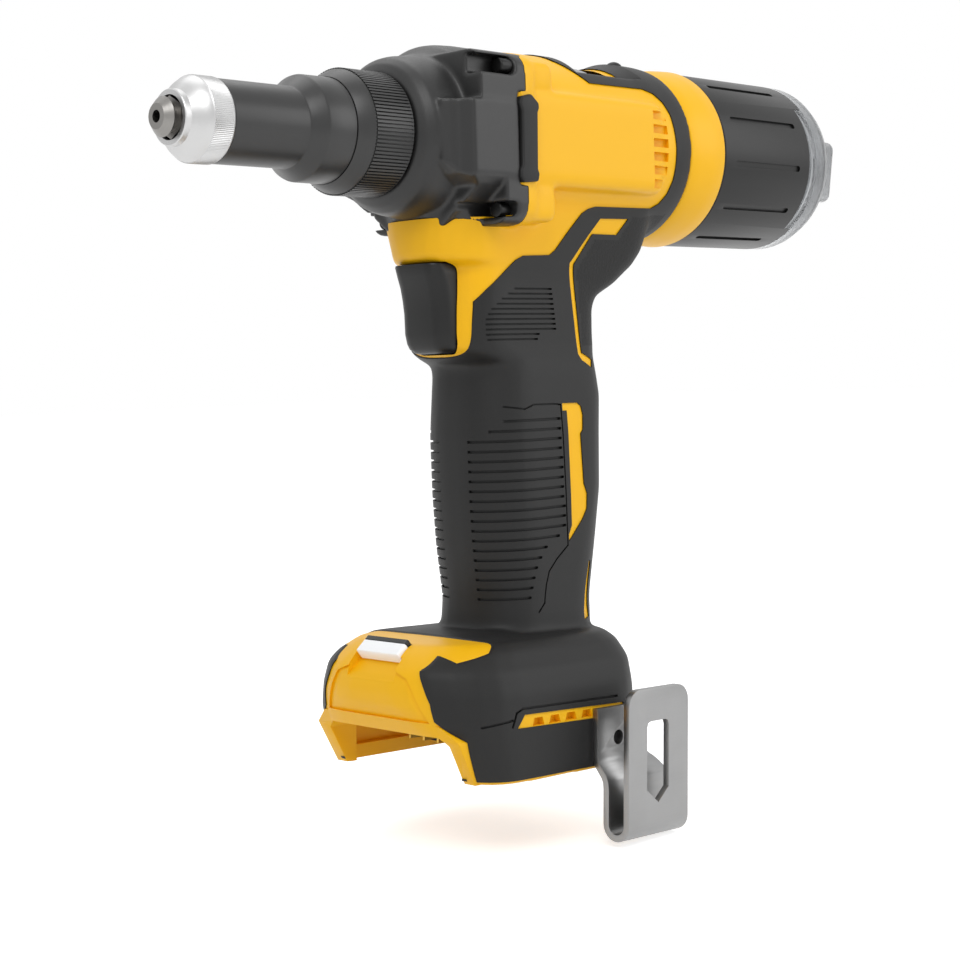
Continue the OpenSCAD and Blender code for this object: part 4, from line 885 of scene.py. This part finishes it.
# %% Where a level line crosses an outline
def crossing(outline, z):
    cuts = []
    for (x0, z0), (x1, z1) in zip(outline, outline[1:] + outline[:1]):
        if (z0 - z) * (z1 - z) < 0:
            cuts.append(x0 + (x1 - x0) * (z - z0) / (z1 - z0))
    return min(cuts), max(cuts)


def line_slab(points, width, low, high):
    shapes = []
    for (x0, z0), (x1, z1) in zip(points, points[1:]):
        along = Vector((x1 - x0, z1 - z0)).normalized() * width / 2
        across = Vector((-along.y, along.x))
        a, b = Vector((x0, z0)) - along, Vector((x1, z1)) + along
        shapes.append(prism([tuple(a - across), tuple(b - across), tuple(b + across), tuple(a + across)],
                            low, high))
    return shapes


# %% Grooves of the grip
panel_line = [(110.0, -79.3), (116.0, -80.2), (119.5, -79.0), (128.6, -79.1), (131.6, -79.4),
              (133.1, -122.4), (128.0, -126.2), (124.6, -129.6), (123.3, -133.6), (122.4, -139.0),
              (119.8, -141.5)]
rib_patch = [(116.5, -42.9), (108.6, -47.2), (104.0, -50.7), (102.5, -53.6), (102.5, -59.0), (103.8, -60.3),
             (121.3, -60.6), (124.0, -59.7), (125.0, -57.8), (132.6, -57.4), (132.2, -53.8), (130.9, -44.1),
             (129.6, -42.9)]
groove_pitch = 2.96
groove_top = -83.6
groove_back = 90
groove_ends = [131.3] * 4 + [131.8] * 5 + [132.4] * 3 + [129.5, 124.0, 121.6, 119.8, 118.8, 118.0, 117.3]
grooves = []
for k, end in enumerate(groove_ends):
    z = groove_top - groove_pitch * k
    # The two highest grooves reach less far round the front
    start = (15.1, 12.2, 6.0)[min(k, 2)]
    outline = rounded(end - groove_back, 0.85, 0.4, ((end + groove_back) / 2, z), 3)
    for side in (-1, 1):
        low, high = sorted((side * start, side * 25))
        grooves.append(prism(outline, low, high))
both_sides = ((-24, -8), (8, 24))
rib_pitch = 1.5
for k in range(11):
    z = -44.4 - rib_pitch * k
    left, right = crossing(rib_patch, z)
    outline = [(left + 0.4, z - 0.3), (right - 0.4, z - 0.3), (right - 0.4, z + 0.3), (left + 0.4, z + 0.3)]
    for low, high in both_sides:
        grooves.append(prism(outline, low, high))
for low, high in both_sides:
    grooves += line_slab(panel_line, 0.55, low, high)
foot_lines = ([(95.2, -165.2), (96.9, -161.4), (99.3, -160.4), (140.4, -160.9)],
              [(85.9, -164.7), (91.1, -163.9), (95.2, -163.4)])
for side in (-1, 1):
    for line in foot_lines:
        grooves += [tilted(slab) for slab in line_slab(line, 0.7, side * 36 - 5, side * 36 + 5)]
print(len(grooves), "groove slabs")

# %% Cut the grooves
slabs = draft(grooves[0])
for groove in grooves[1:]:
    joined(slabs, draft(groove), "UNION")
joined(slabs, deep, "DIFFERENCE", keep=True)
joined(rubber, slabs, "DIFFERENCE")
seam = draft(prism([(120, -215), (215, -215), (215, 60), (120, 60)], -0.12, 0.12))
joined(seam, deep, "DIFFERENCE")
joined(rubber, seam, "DIFFERENCE")
for cutter in shared_cutters:
    bpy.data.objects.remove(cutter)
bpy.data.objects.remove(form)

# %% [markdown]
# Where the web of the hand rests, the rubber is stippled. The pattern is too fine to model, so those faces
# take a second material with a coarser bump. A face belongs to it when its middle lies inside the outline
# of the hump, which is tested by counting how many edges lie to one side of it.


# %% Stipple on the hump
def inside(outline, x, z):
    hit = False
    for (x0, z0), (x1, z1) in zip(outline, outline[1:] + outline[:1]):
        if (z0 > z) != (z1 > z) and x < x0 + (x1 - x0) * (z - z0) / (z1 - z0):
            hit = not hit
    return hit


hump = [(141.9, -38.2), (148.4, -29.4), (159.4, -29.2), (164.6, -22.2), (182, -20.5), (184, -60), (144, -62)]
rubber_piece = finish("moulded_rubber_overmould", rubber, "housing",
                      [black_rubber, stippled_rubber], ["left_overmould", "right_overmould"], 50)
stippled = 0
for face in rubber_piece.data.polygons:
    x, _, z = (1000 * v for v in face.center)
    if inside(hump, x, z):
        face.material_index = 1
        stippled += 1
print(stippled, "faces stippled")

# %% [markdown]
# Two rubber pads sit in notches of the flange and guard the sides when the tool is laid down. On top, a
# low dome stands on the rubber behind the hollow. The pads are outlines with bevelled edges, and the dome
# is a sphere pressed a little flat, of which only the upper part shows.

# %% Side pads and the top dome
pad_outline = [
    (105.6, -14.7), (111.8, -14.2), (112.3, -12.0), (111.7, -10.6), (112.2, 5.6), (112.8, 6.8), (112.8, 8.3),
    (109.6, 10.8), (105.4, 9.8), (104.7, 7.8), (105.6, 5.8), (105.3, -9.6), (104.4, -11.2), (104.4, -13.0)]
pads = []
for side in (-1, 1):
    pad = prism(pad_outline, side * 28.4 - 2.4, side * 28.4 + 2.4)
    bevel_sharp(pad, 0.7, 50, 3)
    pads.append(pad)
finish("side_pads", gathered(*pads), "housing", black_rubber, ["side_bumpers"])
dome = bmesh.new()
bmesh.ops.create_uvsphere(dome, u_segments=32, v_segments=16, radius=1.0)
bmesh.ops.scale(dome, vec=(3.0, 3.0, 2.6), verts=dome.verts)
bmesh.ops.translate(dome, vec=(175.8, -5.5, 26.6), verts=dome.verts)
finish("top_dome", dome, "housing", black_rubber)

# %% [markdown]
# ## The rear end
# A yellow ring holds the cup's seat. The cup is a black tube with straight grooves, and a clear end
# with a flat grip bar shows how full of spent mandrels it is. Ring and cup are turned profiles. Each
# groove is a slab with round ends, taken away with a Boolean. Sinking some faces of the tube would do
# too, but the slab keeps its round ends however the tube is divided.

# %% Rear ring
rear = turned([(187.3, 26), (187.3, 27.3), (187.9, 27.6), (192, 28.2), (197, 28.7), (202.6, 29.0),
               (203.1, 28.8), (203.2, 28.4), (203.2, 26)], soften=0.2, closed=True)
finish("yellow_rear_ring", rear, "housing", yellow_abs, ["rear_ring"])

# %% Mandrel cup
cup_turn = 7
cup_radius = 28.5
cup = draft(turned([(203.6, 26.5), (203.6, 27.9), (204.2, cup_radius), (254.7, cup_radius), (255.1, 28.1),
                    (255.1, 26.5)], soften=0.15, closed=True))
# The rim is cut back on both sides, and the clear end shows further forward there
step_z = cup_radius * math.sin(math.radians(45.6))
rim_cut = brick((9, 120, 2 * step_z), (255.6, 0, 0))
joined(cup, draft(turned_about_x(rim_cut, cup_turn)), "DIFFERENCE")
for k in range(12):
    groove = prism(rounded(36, 1.9, 0.9, (227.6, 0), 4), cup_radius - 0.75, 30, "z")
    joined(cup, draft(turned_about_x(groove, cup_turn + 30 * k)), "DIFFERENCE")
finish("grooved_mandrel_cup", cup, "cup", black_cup, ["cup_body"])

# %% [markdown]
# The clear end is a dome with a wall, turned from one closed line, so light passes two real surfaces. The
# bar that the fingers turn is joined to it with a Boolean, because parts of one moulding share one skin.

# %% Clear end with its grip bar
clear = draft(turned([(246.1, 24.45), (246.1, 26.45), (255.15, 26.45), (255.15, 28.45), (260.6, 28.4),
                      (261.2, 27.9), (263.6, 27.1), (265.7, 24.7), (266.8, 21.4), (266.9, 0.0), (264.1, 0.0),
                      (264.1, 20.0), (262.1, 24.2), (255.1, 24.5)], 96, 0, True))
bar = prism(rounded(42, 21, 3.0), 262.4, 276.1, "x")
bevel_sharp(bar, 1.2, 60, 3)
joined(clear, draft(turned_about_x(bar, cup_turn)), "UNION")
finish("clear_cup_end", clear, "cup", clear_plastic, ["cup_clear_end"], 40)

# %% [markdown]
# ## Trigger and work light
# The trigger is one moulding with a shallow hollow for the finger. It is lofted through rounded sections
# from its lower edge upwards: each section's front gives the hollow, and narrower sections at both ends
# round it off. The lens and its board sit in one turned frame, so both share the light's slant.

# %% Trigger
trigger = loft([
    (-63.0, 94.8, 104, 6.4, 3.5, 1), (-62.5, 93.6, 104, 7.8, 4.2, 1), (-61.4, 92.6, 104, 8.8, 4.6, 1),
    (-59.8, 92.0, 104, 9.3, 4.8, 1), (-57.0, 91.5, 104, 9.5, 4.8, 1), (-51.0, 91.4, 104, 9.5, 4.8, 1),
    (-46.9, 90.9, 104, 9.5, 4.8, 1), (-43.3, 90.2, 104, 9.5, 4.8, 1), (-40.3, 89.2, 104, 9.5, 4.8, 1),
    (-37.2, 88.3, 104, 9.5, 4.8, 1), (-36.7, 88.4, 104, 9.2, 4.6, 1)])
plunger = rod(2, 12, (109.0, 0, -50), "x")
finish("trigger_moulding", gathered(trigger, plunger), "trigger_body", black_nylon,
       ["trigger"])

# %% Work light
lens = prism(rounded(17.9, 3.7, 0.7), -0.3, 4.0, "x")
bevel_sharp(lens, 0.25, 50)
finish("work_light_lens", at_light(lens), "housing", lens_plastic, ["light_lens"])
lamp_board = prism(rounded(17.6, 3.7, 0.5), 4.2, 5.6, "x")
finish("light_circuit_board", at_light(lamp_board), "housing", circuit_board, ["light_board"])

# %% [markdown]
# ## The belt hook
# The hook is one strip of steel, bent three times and pierced. Its centre line is drawn, given its
# thickness along the normals, and extruded to its width, and the slot and the hole are cut last. A plane
# with a Solidify modifier would do too, but the line shows each bend as a bender reads it.

# %% Strip of the belt hook
thick = 2.1
hook_middle = 143.2
hook_half = 13.75
leg_y, mid_y, plate_y = 37.55, 41.75, 49.55
bend_w = -201
bend_r = (plate_y - mid_y) / 2
line = [(leg_y, -163.6), (leg_y, -177.2), (leg_y + 0.1, -178.4), (leg_y + 0.5, -180),
        (mid_y - 0.9, -183.4), (mid_y - 0.2, -185), (mid_y, -187), (mid_y, bend_w + bend_r)]
for k in range(1, 17):
    a = math.pi + math.pi * k / 16
    line.append((mid_y + bend_r + bend_r * math.cos(a), bend_w + bend_r + bend_r * math.sin(a)))
line.append((plate_y, -157.2))
near, far = [], []
for k, point in enumerate(line):
    ahead, behind = line[min(k + 1, len(line) - 1)], line[max(k - 1, 0)]
    along = (Vector(ahead) - Vector(behind)).normalized()
    normal = Vector((-along.y, along.x)) * thick / 2
    near.append(tuple(Vector(point) + normal))
    far.append(tuple(Vector(point) - normal))
strip_section = [(-y, w) for y, w in near + far[::-1]]
hook = draft(prism(strip_section, hook_middle - hook_half, hook_middle + hook_half, "x"))
print("hook strip -", len(line), "points along its line")

# %% Slot, hole and corners of the belt hook
slot_middle = 142.75
slot_outline = [(u + slot_middle, w) for u, w in (
    (-5.0, -168.6), (-4.5, -167.4), (-3.3, -167), (3.3, -167), (4.5, -167.4), (5.0, -168.6), (5.0, -187.2),
    (0.3, -191.4), (-5.0, -187.2))]
joined(hook, draft(prism(slot_outline, -53, -46)), "DIFFERENCE")
shoulder_outline = [(147, -150)]
for k in range(9):
    a = math.radians(90 - 90 * k / 8)
    shoulder_outline.append((147 + 10 * math.cos(a), -187.3 + 10 * math.sin(a)))
shoulder_outline += [(165, -187.3), (165, -150)]
joined(hook, draft(prism(shoulder_outline, -46, -30)), "DIFFERENCE")
joined(hook, draft(rod(2.2, 8, (138.8, -37.5, -172.9), "y")), "DIFFERENCE")
for side in (-1, 1):
    corner = [(hook_middle + side * 20, -162.2)]
    for k in range(9):
        a = math.radians(90 * k / 8)
        corner.append((hook_middle + side * (8.75 + 5 * math.cos(a)), -162.2 + 5 * math.sin(a)))
    corner += [(hook_middle + side * 8.75, -150), (hook_middle + side * 20, -150)]
    joined(hook, draft(prism(corner, -53, -46)), "DIFFERENCE")
bm = bmesh.new()
bm.from_mesh(hook.data)
bpy.data.objects.remove(hook)
bevel_sharp(bm, 0.2, 60)
finish("bent_belt_hook", tilted(bm), "housing", hook_metal, ["belt_hook"])

# %% [markdown]
# ## What is inside
# The CAD nodes inside the barrel and the grip keep their own shapes. They show in a section or when
# the pieces are drawn apart, so each gets the finish of its real substance.

# %% Finishes of the inner nodes
inner = [
    (turned_steel, ["jaw_case", "pulling_head", "anti_turn_rollers", "ball_screw", "mandrel_tube",
                    "ball_nut", "thrust_bearing", "nut_bearing", "front_bearing", "rear_bearing",
                    "motor_shaft", "guide_sleeve"]),
    (gear_metal, ["jaw_1", "jaw_2", "jaw_3", "jaw_pusher", "output_carrier", "input_carrier", "ring_gear",
                  "output_planet_1", "output_planet_2", "output_planet_3", "input_planet_1",
                  "input_planet_2", "input_planet_3", "motor_plate"]),
    (spring_wire, ["jaw_spring", "trigger_spring"]),
    (lamination, ["rotor_core", "stator_core"]),
    (copper_wire, ["windings"]),
    (black_nylon, ["fan", "rear_bulkhead", "trigger_switch", "control_module", "terminal_block",
                   "cup_seal"]),
    (circuit_board, ["sensor_board"]),
    (brass, ["terminal_blades"]),
    (yellow_abs, ["hook_insert"]),
    (screw_black, ["housing_screws"])]
for coat, names in inner:
    for cad_node in names:
        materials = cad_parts[cad_node].data.materials
        materials.clear()
        materials.append(coat)
print(sum(len(names) for coat, names in inner), "inner nodes finished")
